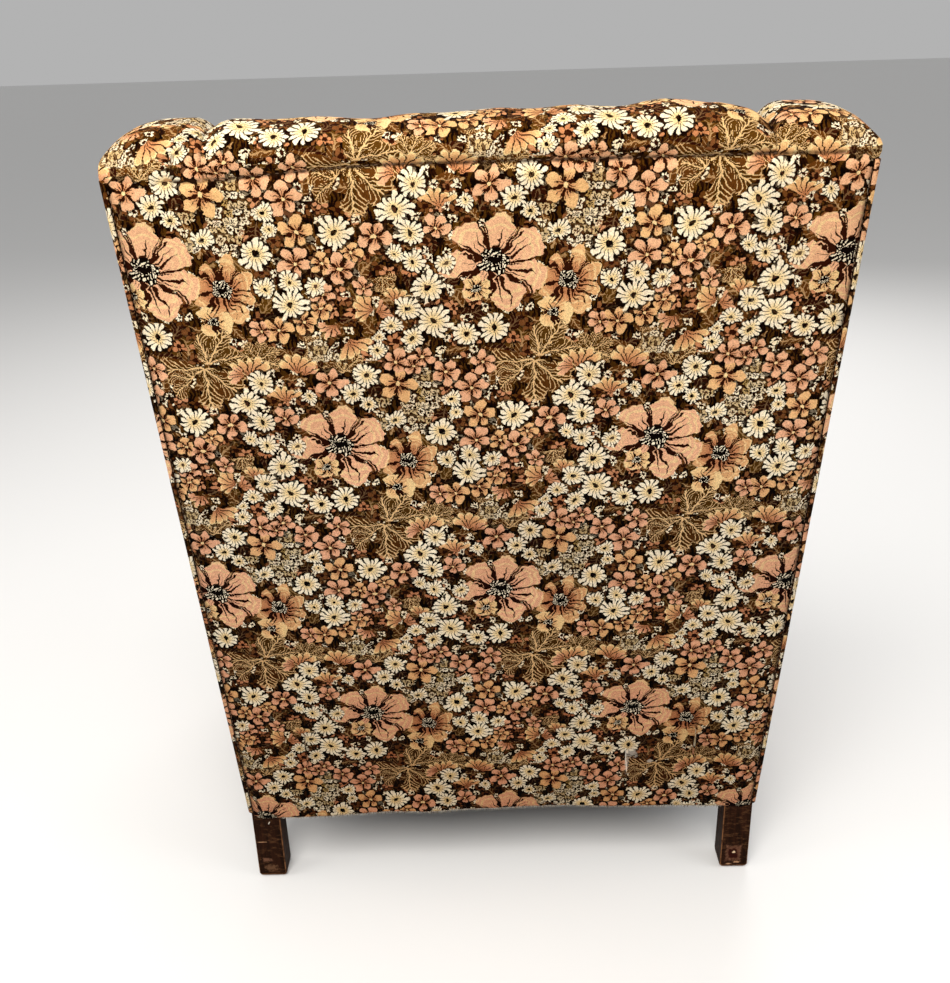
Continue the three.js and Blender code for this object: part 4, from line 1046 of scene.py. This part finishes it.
def arm_facing():
    """The padded shield over the front of an arm, drawn in at its edge."""
    outline = [(ARM_INNER_X, LEG_HEIGHT + 0.002), (SIDE_X, LEG_HEIGHT + 0.002), (SIDE_X, ARM_TOP - ARM_ROUND)]
    for i in range(1, 9):
        angle = math.pi / 2 * i / 8
        outline.append((SIDE_X - ARM_ROUND + ARM_ROUND * math.cos(angle),
                        ARM_TOP - ARM_ROUND + ARM_ROUND * math.sin(angle)))
    for i in range(9):
        angle = math.pi / 2 + math.pi / 2 * i / 8
        outline.append((ARM_INNER_X + ARM_ROUND + ARM_ROUND * math.cos(angle),
                        ARM_TOP - ARM_ROUND + ARM_ROUND * math.sin(angle)))
    outline.append(outline[0])
    path, _ = even_path(outline, 97)
    path = path[:-1]
    centre_x = (ARM_INNER_X + SIDE_X) / 2
    rings = [(1.0, 0.0), (1.0, 0.5), (0.985, 0.85), (0.95, 1.0), (0.8, 1.12), (0.6, 1.2), (0.4, 1.25), (0.2, 1.27),
             (0.02, 1.28)]
    width = SIDE_X - ARM_INNER_X

    def place(i, j):
        share, depth = rings[i]
        x, z = path[j]
        spine_z = min(max(z, LEG_HEIGHT + width / 2), ARM_TOP - width / 2)
        x = centre_x + (x - centre_x) * share
        z = spine_z + (z - spine_z) * share
        return placed(x, FRONT - 0.0006 - FACING_THICK * depth * 0.95 + ripple((x, 0, z), 0.05, 4) * 0.001, z)

    return surface("arm_front_left", len(rings), 96, place,
                   lambda i, j: (0.05 - place(i, j)[0], place(i, j)[2]), flip=True, wrap=True)


# How much higher or lower the stuffing stands along the crest, from the sitter's right to left
CREST_LUMPS = (
    (-0.266, -0.010), (-0.25, -0.005), (-0.235, 0.0), (-0.22, 0.005), (-0.19, 0.0075), (-0.16, 0.0070),
    (-0.13, 0.004), (-0.10, 0.003), (-0.07, 0.0040), (-0.04, 0.0030), (0.0, 0.0015), (0.05, 0.002),
    (0.10, 0.0), (0.19, 0.0005), (0.24, 0.0), (0.266, -0.003))


def back_profile(x):
    """Closed side view of the inside back at one place across, sagging and pulled in at its seam."""
    wave = float(np.interp(x, *zip(*CREST_LUMPS)))
    top = CREST_LENGTH + wave + 0.0012 * math.sin(x / 0.013 + 2)
    seam = seam_up(x)
    rise = top - seam
    side = (abs(x) / SEAT_HALF_X) ** 4
    front = BACK_PAD_DEPTH - 0.012 * side
    start = BACK_PAD_START
    return [
        on_back(seam - 0.014, 0.0026), on_back(seam - 0.003, 0.0024), on_back(seam + 0.0012, 0.0014),
        on_back(seam + rise * 0.30, -0.0056), on_back(seam + rise * 0.72, 0.001), on_back(top - 0.001, 0.020),
        on_back(top + 0.001, 0.042), on_back(top - 0.003, 0.064), on_back(top - 0.016, front - 0.026),
        on_back(top - 0.048, front - 0.006), on_back(top - 0.120, front), on_back((start + top) * 0.6, front),
        on_back((start + top) * 0.45, front + LUMBAR_DEPTH * 0.4),
        on_back(start + LUMBAR_RISE, front + LUMBAR_DEPTH),
        on_back(start + LUMBAR_RISE / 2, front + LUMBAR_DEPTH * 0.8), on_back(start + 0.026, front),
        on_back(start + 0.002, front - 0.022), on_back(start, PAD_REAR_DEPTH + 0.004)]


def inside_back():
    """The inside back's cover, upright on its front, with the outside back's cloth carried on over the crest."""
    columns, count = 190, 190
    paths = []
    for j in range(columns):
        x = SEAT_HALF_X * (2 * j / (columns - 1) - 1)
        path, length = even_path(rounded_path(back_profile(x), 2), count)
        paths.append((x, path, length))
    crown = int(count * 0.125)

    def place(i, j):
        x, path, _ = paths[j]
        y, z = path[i]
        soft = ripple((x, y, z), 0.09, 8) * 0.004 + ripple((x, y, z), 0.03, 9) * 0.0011
        hollow = 0.010 * math.exp(-((z - 0.62) / 0.16) ** 2) * (1 - (x / SEAT_HALF_X) ** 2)
        crest = smooth((z - 1.02) / 0.02)
        side = 0.005 * math.exp(-((abs(x) - SEAT_HALF_X) / 0.010) ** 2) * smooth((z - 1.0) / 0.03)
        front = 1 if y < on_back_at(z, 0.06)[0] else 0
        return placed(x, y - soft * (1 if front else 0.3) + hollow * front - side * (1 - front),
                      z + crest * (soft * 0.5 - side))

    def upright(i, j):
        return -paths[j][0], 1.35 - paths[j][2] * i / (count - 1)

    def carried_on(i, j):
        return paths[j][0], seam_up(paths[j][0]) - 0.014 + paths[j][2] * i / (count - 1)

    return surface("inside_back", count, columns, place, upright, flip=True, other=carried_on,
                   other_rows=range(crown))


def box_cushion():
    """A loose box cushion: crowned top, boxing band drawn in at its seams, and the hollow a sitter has left."""
    low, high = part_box("seat_cushion")
    half_x = high[0] - 0.001
    front, rear = low[1] + 0.001, high[1] - 0.003
    top, bottom = 0.404, 0.262
    mid_y, half_y = (front + rear) / 2, (rear - front) / 2
    across, along, tall = 58, 54, 14
    points, uvs, faces = [], [], []

    def settle(x, y):
        a = max(0.0, 1 - (x / half_x) ** 2)
        b = max(0.0, 1 - ((y - mid_y) / half_y) ** 2)
        return a, b

    def shape(u, v, w):
        """Place for a point of the block, u, v and w from -1 to 1."""
        z = bottom + (top - bottom) * (w + 1) / 2
        lean = (rear - 0.021) + 0.021 * (w + 1) / 2
        pull = -0.006 * (1 - abs(w) ** 6)
        corner = 0.010 * (abs(u) * abs(v)) ** 6
        x = u * (half_x - 0.004 - corner + pull * 0.5)
        y_half = (lean - front) / 2
        under = 0.010 * max(0.0, -w) ** 5
        y = (front + lean) / 2 + v * (y_half - 0.004 - corner - under)
        a, b = settle(x, y)
        if w > 0:
            z += w * (0.006 * (a * b) ** 0.35 - 0.046 * (a * b) ** 0.8 - 0.004 * (1 - b))
            z += w * (ripple((x, y, 0), 0.07, 11) * 0.006 + ripple((x, y, 0), 0.025, 12) * 0.0022)
        else:
            z += -w * (-0.020 * a * b + 0.004)
        return placed(x, y - REAR_Y, z)

    def side(corner_a, corner_b, corner_c, steps_u, steps_v, offset, flat):
        """One panel of the cover between three corners, with its own place on the cloth."""
        base = len(points)
        for i in range(steps_v + 1):
            for j in range(steps_u + 1):
                s, t = j / steps_u, i / steps_v
                spot = [corner_a[k] + (corner_b[k] - corner_a[k]) * s + (corner_c[k] - corner_a[k]) * t
                        for k in range(3)]
                points.append(shape(*spot))
                uvs.append((-offset[0] - flat[0] * s, offset[1] + flat[1] * t))
        for i in range(steps_v):
            for j in range(steps_u):
                a = base + i * (steps_u + 1) + j
                faces.append((a, a + 1, a + steps_u + 2, a + steps_u + 1))

    wide, deep, thick = 2 * half_x, 2 * half_y, top - bottom
    side((-1, -1, 1), (1, -1, 1), (-1, 1, 1), across, along, (0.04, 0.11), (wide, deep))
    side((-1, 1, -1), (1, 1, -1), (-1, -1, -1), across, along, (0.3, 0.5), (wide, deep))
    side((-1, -1, -1), (1, -1, -1), (-1, -1, 1), across, tall, (0.04, 0.11 - thick), (wide, thick))
    side((1, -1, -1), (1, 1, -1), (1, -1, 1), along, tall, (0.2, 0.3), (deep, thick))
    side((1, 1, -1), (-1, 1, -1), (1, 1, 1), across, tall, (0.1, 0.7), (wide, thick))
    side((-1, 1, -1), (-1, -1, -1), (-1, 1, 1), along, tall, (0.5, 0.2), (deep, thick))
    return new_piece("seat_cushion_cover", points, faces, uvs)


def weld(piece, distance=0.0002):
    """Joins the edges of panels that meet, keeping each panel's own place on the cloth."""
    work = bmesh.new()
    work.from_mesh(piece.data)
    bmesh.ops.remove_doubles(work, verts=work.verts, dist=distance)
    bmesh.ops.recalc_face_normals(work, faces=work.faces)
    work.to_mesh(piece.data)
    work.free()
    return piece


def stuffed(piece, pressure, cap, frames=18):
    """Swells a closed cover with cloth simulation and lets each point move no further than the cap."""
    before = np.empty(len(piece.data.vertices) * 3)
    piece.data.vertices.foreach_get("co", before)
    cloth = piece.modifiers.new("stuffing", "CLOTH")
    cloth.settings.use_pressure = True
    cloth.settings.uniform_pressure_force = pressure
    cloth.settings.effector_weights.gravity = 0
    cloth.settings.quality = 6
    cloth.settings.tension_stiffness = 12
    cloth.settings.compression_stiffness = 8
    cloth.settings.shrink_min = -0.03
    scene = bpy.context.scene
    for number in range(1, frames + 1):
        scene.frame_set(number)
    evaluated = piece.evaluated_get(bpy.context.evaluated_depsgraph_get())
    after = np.empty_like(before)
    evaluated.data.vertices.foreach_get("co", after)
    piece.modifiers.remove(cloth)
    scene.frame_set(1)
    move = (after - before).reshape(-1, 3)
    size = np.linalg.norm(move, axis=1, keepdims=True)
    move *= np.minimum(1.0, cap / np.maximum(size, 1e-9))
    piece.data.vertices.foreach_set("co", (before.reshape(-1, 3) + move).ravel())
    piece.data.update()
    return piece


# Sheets stretched over the frame

def hem_up(x):
    """The hem's slack line: arched between the legs and lower towards the sitter's left."""
    arch = 0.0125 * (1 - (x / SIDE_X) ** 2)
    return arch - 0.0085 - 0.004 * smooth((x - 0.16) / 0.14) + 0.0007 * math.sin(x / 0.021) + 0.0009 * ripple(
        (x, 0, 0), 0.012, 21)


def back_surface(x, up):
    """The outside back's own surface: slack, tucked in at its edges, dimpled where the wing's pleat ends."""
    half = SIDE_X - EDGE_ROUND
    seam = seam_up(x)
    edge = smooth(min(half - abs(x), 0.014) / 0.014)
    top = smooth((seam - up) / 0.012)
    joined = smooth((x - 0.284) / 0.012)
    slack = ripple((x, up, 0), 0.16, 22) * 0.004 + ripple((x, up, 0), 0.05, 23) * 0.0012
    drape = 0.0016 * math.sin(up / 0.021 + 2.0 * math.sin(x * 9)) * smooth(1 - up / 0.16) * edge
    tuck = 0.0044 * (1 - top) ** 2 * (1 - joined) + 0.0010 * (1 - top) * joined + 0.0030 * (1 - edge)
    dimple = 0.0022 * math.exp(-((x - PLEAT_X) / 0.006) ** 2 - ((up - DIMPLE_UP) / 0.008) ** 2)
    pucker = 0.0010 * math.exp(-((x - PLEAT_X) / 0.010) ** 2) * math.exp(-((up - 0.885) / 0.022) ** 2)
    return on_back(up, -0.0022 - slack * edge * top - 0.002 * edge * top - drape + tuck + dimple + pucker)


def outside_back():
    """One flat panel, slightly slack, turned in at its edges and blind-stitched under the crest."""
    rows, columns = 260, 190
    half = SIDE_X - EDGE_ROUND

    def spot(i, j):
        x = half * (2 * j / (columns - 1) - 1)
        t = i / (rows - 1)
        low = hem_up(x)
        return x, low + (seam_up(x) - low) * t

    def place(i, j):
        x, up = spot(i, j)
        return placed(x, *back_surface(x, up))

    return surface("outside_back", rows, columns, place, spot, flip=True)


def side_cover():
    """The side in one cloth, turned 6 mm round the rear edge and cut to the wing and the arm."""
    rear_depth = 0.0022
    lower, upper = 54, 60
    first, second, wrap = 46, 34, 6
    roll = ARM_TOP - ARM_ROLL_DROP
    edge = wing_edge(PANEL_INSET, ARM_TOP, 60)
    edge += [on_back(SEAM_LENGTH - 0.001, 0.05), on_back(SEAM_LENGTH - 0.001, 0.03)]
    top_z = on_back(SEAM_LENGTH - 0.001, 0.012)[1]
    foot_y = edge[0][0]

    def front_at(z):
        if z <= ARM_TOP:
            return foot_y
        best = foot_y
        for (y0, z0), (y1, z1) in zip(edge, edge[1:]):
            if z0 <= z <= z1:
                best = y0 + (y1 - y0) * (z - z0) / max(z1 - z0, 1e-6)
        if z > max(p[1] for p in edge):
            best = edge[-1][0]
        return best

    base = LEG_HEIGHT - 0.001
    rows = [base + (roll - base) * i / (lower - 1) for i in range(lower)]
    rows += [roll + (top_z - roll) * (i + 1) / upper for i in range(upper)]
    columns = wrap + first + second
    points, uvs, faces = [], [], []
    for i, z in enumerate(rows):
        rear = on_back_at(z, rear_depth)[0]
        for j in range(columns):
            if j < wrap:
                angle = math.pi / 2 * j / wrap
                x = SIDE_X - EDGE_ROUND + EDGE_ROUND * math.sin(angle) + 0.0014
                y = on_back_at(z, -0.0018 + EDGE_ROUND * (1 - math.cos(angle)))[0]
                run = 0.010 * j / wrap - 0.010
            else:
                if j < wrap + first:
                    t = (j - wrap) / (first - 1)
                    y = on_back_at(z, 0.0047)[0] + (front_at(z) - on_back_at(z, 0.0047)[0]) * t
                else:
                    t = (j - wrap - first + 1) / second
                    y = foot_y + (FRONT - foot_y) * t
                x = SIDE_X + 0.0014
                run = rear - y
            slack = ripple((0, y, z), 0.14, 31) * 0.0022 + ripple((0, y, z), 0.045, 32) * 0.0008
            x += slack * (0.6 if j >= wrap else 0.2)
            points.append(placed(x, y, z))
            uvs.append((0.15 + run, z - LEG_HEIGHT))
    for i in range(len(rows) - 1):
        last = columns if i < lower - 1 else wrap + first
        for j in range(last - 1):
            a = i * columns + j
            faces.append((a, a + columns, a + columns + 1, a + 1))
    return new_piece("side_left", points, faces, uvs)


def front_border():
    rows, columns = 40, 120
    bottom, top = LEG_HEIGHT + 0.001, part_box("front_border")[1][2] + 0.004

    def place(i, j):
        t = i / (rows - 1)
        x = (ARM_INNER_X - 0.0008) * (2 * j / (columns - 1) - 1)
        z = bottom + (top - bottom) * t
        puff = 0.010 * math.sin(math.pi * min(1, max(0, t))) ** 0.5
        y = FRONT - 0.0006 - 0.003 - puff - ripple((x, 0, z), 0.07, 41) * 0.0018
        return placed(x, y, z)

    return surface("front_border_cover", rows, columns, place,
                   lambda i, j: (0.04 - ARM_INNER_X * (2 * j / (columns - 1) - 1), 0.9 + 0.16 * i / (rows - 1)))


def seat_deck():
    """Hessian over the springs, sunk in the middle."""
    low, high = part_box("seat_deck")
    rows, columns = 60, 56
    mid, half = (low[1] + high[1]) / 2, (high[1] - low[1]) / 2

    def place(i, j):
        u, v = 2 * j / (columns - 1) - 1, 2 * i / (rows - 1) - 1
        edge = max(abs(u), abs(v)) ** 24
        sag = 0.021 * (1 - v * v) * (0.35 + 0.65 * (1 - u * u))
        x, y = u * (high[0] - 0.0015), mid + v * (half - 0.001)
        z = high[2] - 0.0015 - sag - 0.012 * edge + ripple((x, y, 0), 0.05, 51) * 0.0015 * (1 - edge)
        return Vector((x, y, z))

    return surface("deck_cloth", rows, columns, place, lambda i, j: (0.01 * j, 0.01 * i))


def dust_cloth():
    """Black bottom cloth, tacked under the rails and slack between them, its corners cut for the legs."""
    low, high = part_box("dust_cloth")
    rows, columns = 60, 70
    notch_x, notch_y = 0.034, 0.036
    points, uvs, faces = [], [], []
    for i in range(rows):
        for j in range(columns):
            x = low[0] + (high[0] - low[0]) * j / (columns - 1)
            y = low[1] + (high[1] - low[1]) * i / (rows - 1)
            u, v = 2 * j / (columns - 1) - 1, 2 * i / (rows - 1) - 1
            drop = 0.009 * (1 - u ** 4) * (1 - v ** 4) + ripple((x, y, 0), 0.08, 61) * 0.0015 * (1 - u ** 4)
            points.append((x, y, low[2] + 0.0012 - max(0.0, drop)))
            uvs.append((x, y))
    for i in range(rows - 1):
        for j in range(columns - 1):
            corners = (i * columns + j, i * columns + j + 1, (i + 1) * columns + j + 1, (i + 1) * columns + j)
            if all(abs(points[k][0]) > high[0] - notch_x and (points[k][1] < low[1] + notch_y
                   or points[k][1] > high[1] - notch_y) for k in corners):
                continue
            faces.append(corners[::-1])
    return new_piece("bottom_cloth", points, faces, uvs)


# Timber with worn arrises

def worn_post(name, source, bevel):
    """The frame's own post with its arrises eased, and those eased faces marked as worn."""
    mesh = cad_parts[source].data.copy()
    mesh.name = name
    piece = bpy.data.objects.new(name, mesh)
    bpy.context.scene.collection.objects.link(piece)
    mesh.materials.clear()
    work = bmesh.new()
    work.from_mesh(mesh)
    bmesh.ops.remove_doubles(work, verts=work.verts, dist=0.00001)
    bmesh.ops.dissolve_limit(work, angle_limit=math.radians(1.5), verts=work.verts, edges=work.edges)
    wear = work.faces.layers.float.new("wear")
    sharp = [e for e in work.edges if e.is_manifold and e.calc_face_angle() > math.radians(20)
             and max(v.co.z for v in e.verts) < 0.14]
    eased = bmesh.ops.bevel(work, geom=sharp, offset=bevel, segments=3, profile=0.6, affect="EDGES",
                            clamp_overlap=True)["faces"]
    for face in eased:
        face[wear] = 1.0
    bmesh.ops.recalc_face_normals(work, faces=work.faces)
    work.to_mesh(mesh)
    work.free()
    return piece


# What repeats along a line: stitches, frayed ends and tacks

def make_line_tree(name, shape, follow):
    """Small shapes set along a line at a spacing, each with its own size and turn by chance."""
    tree = bpy.data.node_groups.new(name, "GeometryNodeTree")
    tree.interface.new_socket("Line", in_out="INPUT", socket_type="NodeSocketGeometry")
    for label, kind in (
            ("Spacing", "Float"), ("Smallest", "Vector"), ("Largest", "Vector"), ("Turn low", "Vector"),
            ("Turn high", "Vector"), ("Seed", "Int"), ("Finish", "Material")):
        tree.interface.new_socket(label, in_out="INPUT", socket_type=f"NodeSocket{kind}")
    tree.interface.new_socket("Shapes", in_out="OUTPUT", socket_type="NodeSocketGeometry")
    graph = Graph(tree)
    given = graph.node("NodeGroupInput").outputs
    curve = graph.node("GeometryNodeMeshToCurve")
    graph.feed(curve.inputs["Mesh"], given["Line"])
    spots = graph.node("GeometryNodeCurveToPoints", mode="LENGTH")
    graph.feed(spots.inputs["Curve"], curve.outputs[0])
    graph.feed(spots.inputs["Length"], given["Spacing"])

    def chance(low, high, shift):
        node = graph.node("FunctionNodeRandomValue", data_type="FLOAT_VECTOR")
        graph.feed(node.inputs[0], low)
        graph.feed(node.inputs[1], high)
        graph.feed(node.inputs["Seed"], graph.math("ADD", given["Seed"], shift))
        return node.outputs[0]

    if shape == "hair":
        body = graph.node("GeometryNodeMeshCone")
        for label, value in (("Vertices", 4), ("Radius Top", 0.15), ("Radius Bottom", 1.0), ("Depth", 1.0)):
            body.inputs[label].default_value = value
    else:
        body = graph.node("GeometryNodeMeshUVSphere")
        for label, value in (("Segments", 8), ("Rings", 5), ("Radius", 1.0)):
            body.inputs[label].default_value = value
    copies = graph.node("GeometryNodeInstanceOnPoints")
    graph.feed(copies.inputs["Points"], spots.outputs["Points"])
    graph.feed(copies.inputs["Instance"], body.outputs["Mesh"])
    if follow:
        graph.feed(copies.inputs["Rotation"], spots.outputs["Rotation"])
    graph.feed(copies.inputs["Scale"], chance(given["Smallest"], given["Largest"], 0))
    turned = graph.node("GeometryNodeRotateInstances")
    graph.feed(turned.inputs["Instances"], copies.outputs[0])
    graph.feed(turned.inputs["Rotation"], chance(given["Turn low"], given["Turn high"], 17))
    real = graph.node("GeometryNodeRealizeInstances")
    graph.feed(real.inputs[0], turned.outputs[0])
    dressed = graph.node("GeometryNodeSetMaterial")
    graph.feed(dressed.inputs["Geometry"], real.outputs[0])
    graph.feed(dressed.inputs["Material"], given["Finish"])
    graph.feed(graph.node("NodeGroupOutput").inputs[0], dressed.outputs[0])
    return tree


STITCH_LINE = make_line_tree("stitch_line", "bead", True)
FRAY_LINE = make_line_tree("fray_line", "hair", False)
TACK_LINE = make_line_tree("tack_line", "bead", False)


def along_lines(name, tree, lines, material, **values):
    """Runs a line tree on some lines of points and keeps what it makes as one plain mesh."""
    points, edges = [], []
    for line in lines:
        first = len(points)
        points += [tuple(p) for p in line]
        edges += [(i, i + 1) for i in range(first, len(points) - 1)]
    mesh = bpy.data.meshes.new(name)
    mesh.from_pydata(points, edges, [])
    source = bpy.data.objects.new(name + "_line", mesh)
    bpy.context.scene.collection.objects.link(source)
    modifier = source.modifiers.new("shapes", "NODES")
    modifier.node_group = tree
    values["Finish"] = material
    for item in tree.interface.items_tree:
        if item.in_out == "INPUT" and item.name in values:
            modifier[item.identifier] = values[item.name]
    ready = bpy.context.evaluated_depsgraph_get()
    made = bpy.data.meshes.new_from_object(source.evaluated_get(ready), depsgraph=ready)
    source.modifiers.remove(modifier)
    bpy.data.objects.remove(source)
    made.name = name
    made.shade_smooth()
    piece = bpy.data.objects.new(name, made)
    bpy.context.scene.collection.objects.link(piece)
    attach(piece, "root")
    return piece


def stitches(name, lines, spacing, length, seed, material, width=0.0006, tilt=0.25):
    return along_lines(name, STITCH_LINE, lines, material, **{
        "Spacing": spacing, "Smallest": (width * 0.8, width * 0.8, length * 0.4), "Seed": seed,
        "Largest": (width * 1.1, width * 1.1, length * 0.6), "Turn low": (-tilt, -tilt, -tilt),
        "Turn high": (tilt, tilt, tilt)})


def thread(name, points, radius, material):
    """One loose thread as a round strand that narrows to its ends."""
    points = [Vector(p) for p in rounded_path(points, 2)]
    sides = 6
    ring, faces = [], []
    for i, point in enumerate(points):
        ahead = (points[min(i + 1, len(points) - 1)] - points[max(i - 1, 0)]).normalized()
        across = ahead.cross(Vector((0, 1, 0.2))).normalized()
        over = ahead.cross(across)
        size = radius * (0.35 + 0.65 * math.sin(math.pi * i / (len(points) - 1)) ** 0.5)
        for k in range(sides):
            angle = 2 * math.pi * k / sides
            ring.append(point + (across * math.cos(angle) + over * math.sin(angle)) * size)
    for i in range(len(points) - 1):
        for k in range(sides):
            a, b = i * sides + k, i * sides + (k + 1) % sides
            faces.append((a, b, b + sides, a + sides))
    faces += [tuple(range(sides))[::-1], tuple(range(len(ring) - sides, len(ring)))]
    piece = new_piece(name, ring, faces)
    work = bmesh.new()
    work.from_mesh(piece.data)
    bmesh.ops.recalc_face_normals(work, faces=work.faces)
    work.to_mesh(piece.data)
    work.free()
    return finish(piece, material)


# The chair is put together

def pair(piece, material, node, other_name, **how):
    other = mirrored(piece, other_name)
    finish(piece, material, f"{node}_left", **how)
    finish(other, material, f"{node}_right", **how)
    return piece, other


back = finish(outside_back(), TAPESTRY, "outside_back_cover", thickness=0.0014)

for piece in pair(side_cover(), TAPESTRY, "side_cover", "side_right", thickness=0.0014):
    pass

wing_left = finish(weld(wing_pad("wing_left", seam_up(0.32), pleated=True)), TAPESTRY, "wing_pad_left")
spare = weld(wing_pad("wing_spare", seam_up(-0.32)))
wing_right = finish(mirrored(spare, "wing_right"), TAPESTRY, "wing_pad_right")
bpy.data.objects.remove(spare)
for piece in (wing_left, wing_right, *pair(arm_pad(), TAPESTRY, "arm_pad", "arm_right"),
              *pair(weld(arm_facing()), TAPESTRY, "arm_facing", "arm_front_right")):
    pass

inside = finish(inside_back(), TAPESTRY, "inside_back_pad")

border = finish(front_border(), TAPESTRY, "front_border")

deck = finish(seat_deck(), HESSIAN, "seat_deck")

cushion = stuffed(weld(box_cushion(), 0.0006), 3.0, 0.012)
finish(cushion, TAPESTRY, "seat_cushion", levels=1)

bottom = finish(dust_cloth(), CAMBRIC, "dust_cloth", thickness=0.0006)

for side in ("left", "right"):
    for end, source in (("rear", "rear_leg_and_back_post"), ("front", "front_leg_and_arm_post")):
        post = worn_post(f"{end}_leg_{side}", f"{source}_{side}", 0.0022)
        finish(post, STAINED, f"{source}_{side}")

for name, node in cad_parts.items():
    if "spring" in name:
        node.data.materials.clear()
        node.data.materials.append(STEEL)
    elif "webbing" in name:
        node.data.materials.clear()
        node.data.materials.append(HESSIAN)
    elif "rail" in name or "board" in name or "block" in name:
        node.data.materials.clear()
        node.data.materials.append(BARE)

# Threads and tacks
edge_x = SIDE_X - 0.0068
crest_line = [placed(x, *on_back(seam_up(x) + 0.0002, 0.0006)) for x in np.linspace(0.297, -0.350, 120)]
edge_lines = [[placed(side * edge_x, *on_back(up, -0.0012)) for up in np.linspace(0.004, 0.900, 120)]
              for side in (1, -1)]
stitches("crest_stitches", [crest_line], 0.0085, 0.0042, 3, THREAD_BROWN)
stitches("edge_stitches", edge_lines, 0.0070, 0.0036, 5, THREAD_BROWN)

hem_line = [placed(x, *back_surface(x, hem_up(x) + 0.0008)) for x in np.linspace(0.316, -0.316, 200)]
along_lines("hem_fray", FRAY_LINE, [hem_line], THREAD_PALE, **{
    "Spacing": 0.0010, "Smallest": (0.00020, 0.00020, 0.0012), "Largest": (0.00036, 0.00036, 0.0056), "Seed": 11,
    "Turn low": (2.2, -0.9, -3.1), "Turn high": (4.1, 0.9, 3.1)})
along_lines("hem_fray_dark", FRAY_LINE, [hem_line], THREAD_BROWN, **{
    "Spacing": 0.0009, "Smallest": (0.00024, 0.00024, 0.0012), "Largest": (0.00044, 0.00044, 0.0046), "Seed": 23,
    "Turn low": (2.4, -0.7, -3.1), "Turn high": (3.9, 0.7, 3.1)})

low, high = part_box("dust_cloth")
margin = 0.012
tack_z = low[2] + 0.0004
corner_x, corner_y = high[0] - 0.044, 0.046
tack_lines = [[(x, y, tack_z) for x in (-corner_x, corner_x)] for y in (low[1] + margin, high[1] - margin)]
tack_lines += [[(x, y, tack_z) for y in (low[1] + corner_y, high[1] - corner_y)]
               for x in (low[0] + margin, high[0] - margin)]
tacks = along_lines("bottom_cloth_tacks", TACK_LINE, tack_lines, STEEL, **{
    "Spacing": 0.034, "Smallest": (0.0032, 0.0032, 0.0011), "Largest": (0.0036, 0.0036, 0.0013), "Seed": 7,
    "Turn low": (-0.1, -0.1, 0.0), "Turn high": (0.1, 0.1, 3.0)})

snag = [(-0.1712, 0.1232, 0.0030), (-0.1722, 0.1140, 0.0048), (-0.1719, 0.1040, 0.0062), (-0.1732, 0.0950, 0.0052),
        (-0.1739, 0.0850, 0.0066), (-0.1749, 0.0760, 0.0052), (-0.1751, 0.0665, 0.0034)]
thread("pulled_thread", [placed(x, *on_back(up, -lift)) for x, up, lift in snag], 0.00055, THREAD_PALE)
thread("loose_thread_on_leg", [(0.3352, REAR_Y + 0.0020, 0.1010), (0.3366, REAR_Y + 0.0030, 0.0990),
                               (0.3372, REAR_Y + 0.0022, 0.0965)], 0.0006, THREAD_PALE)
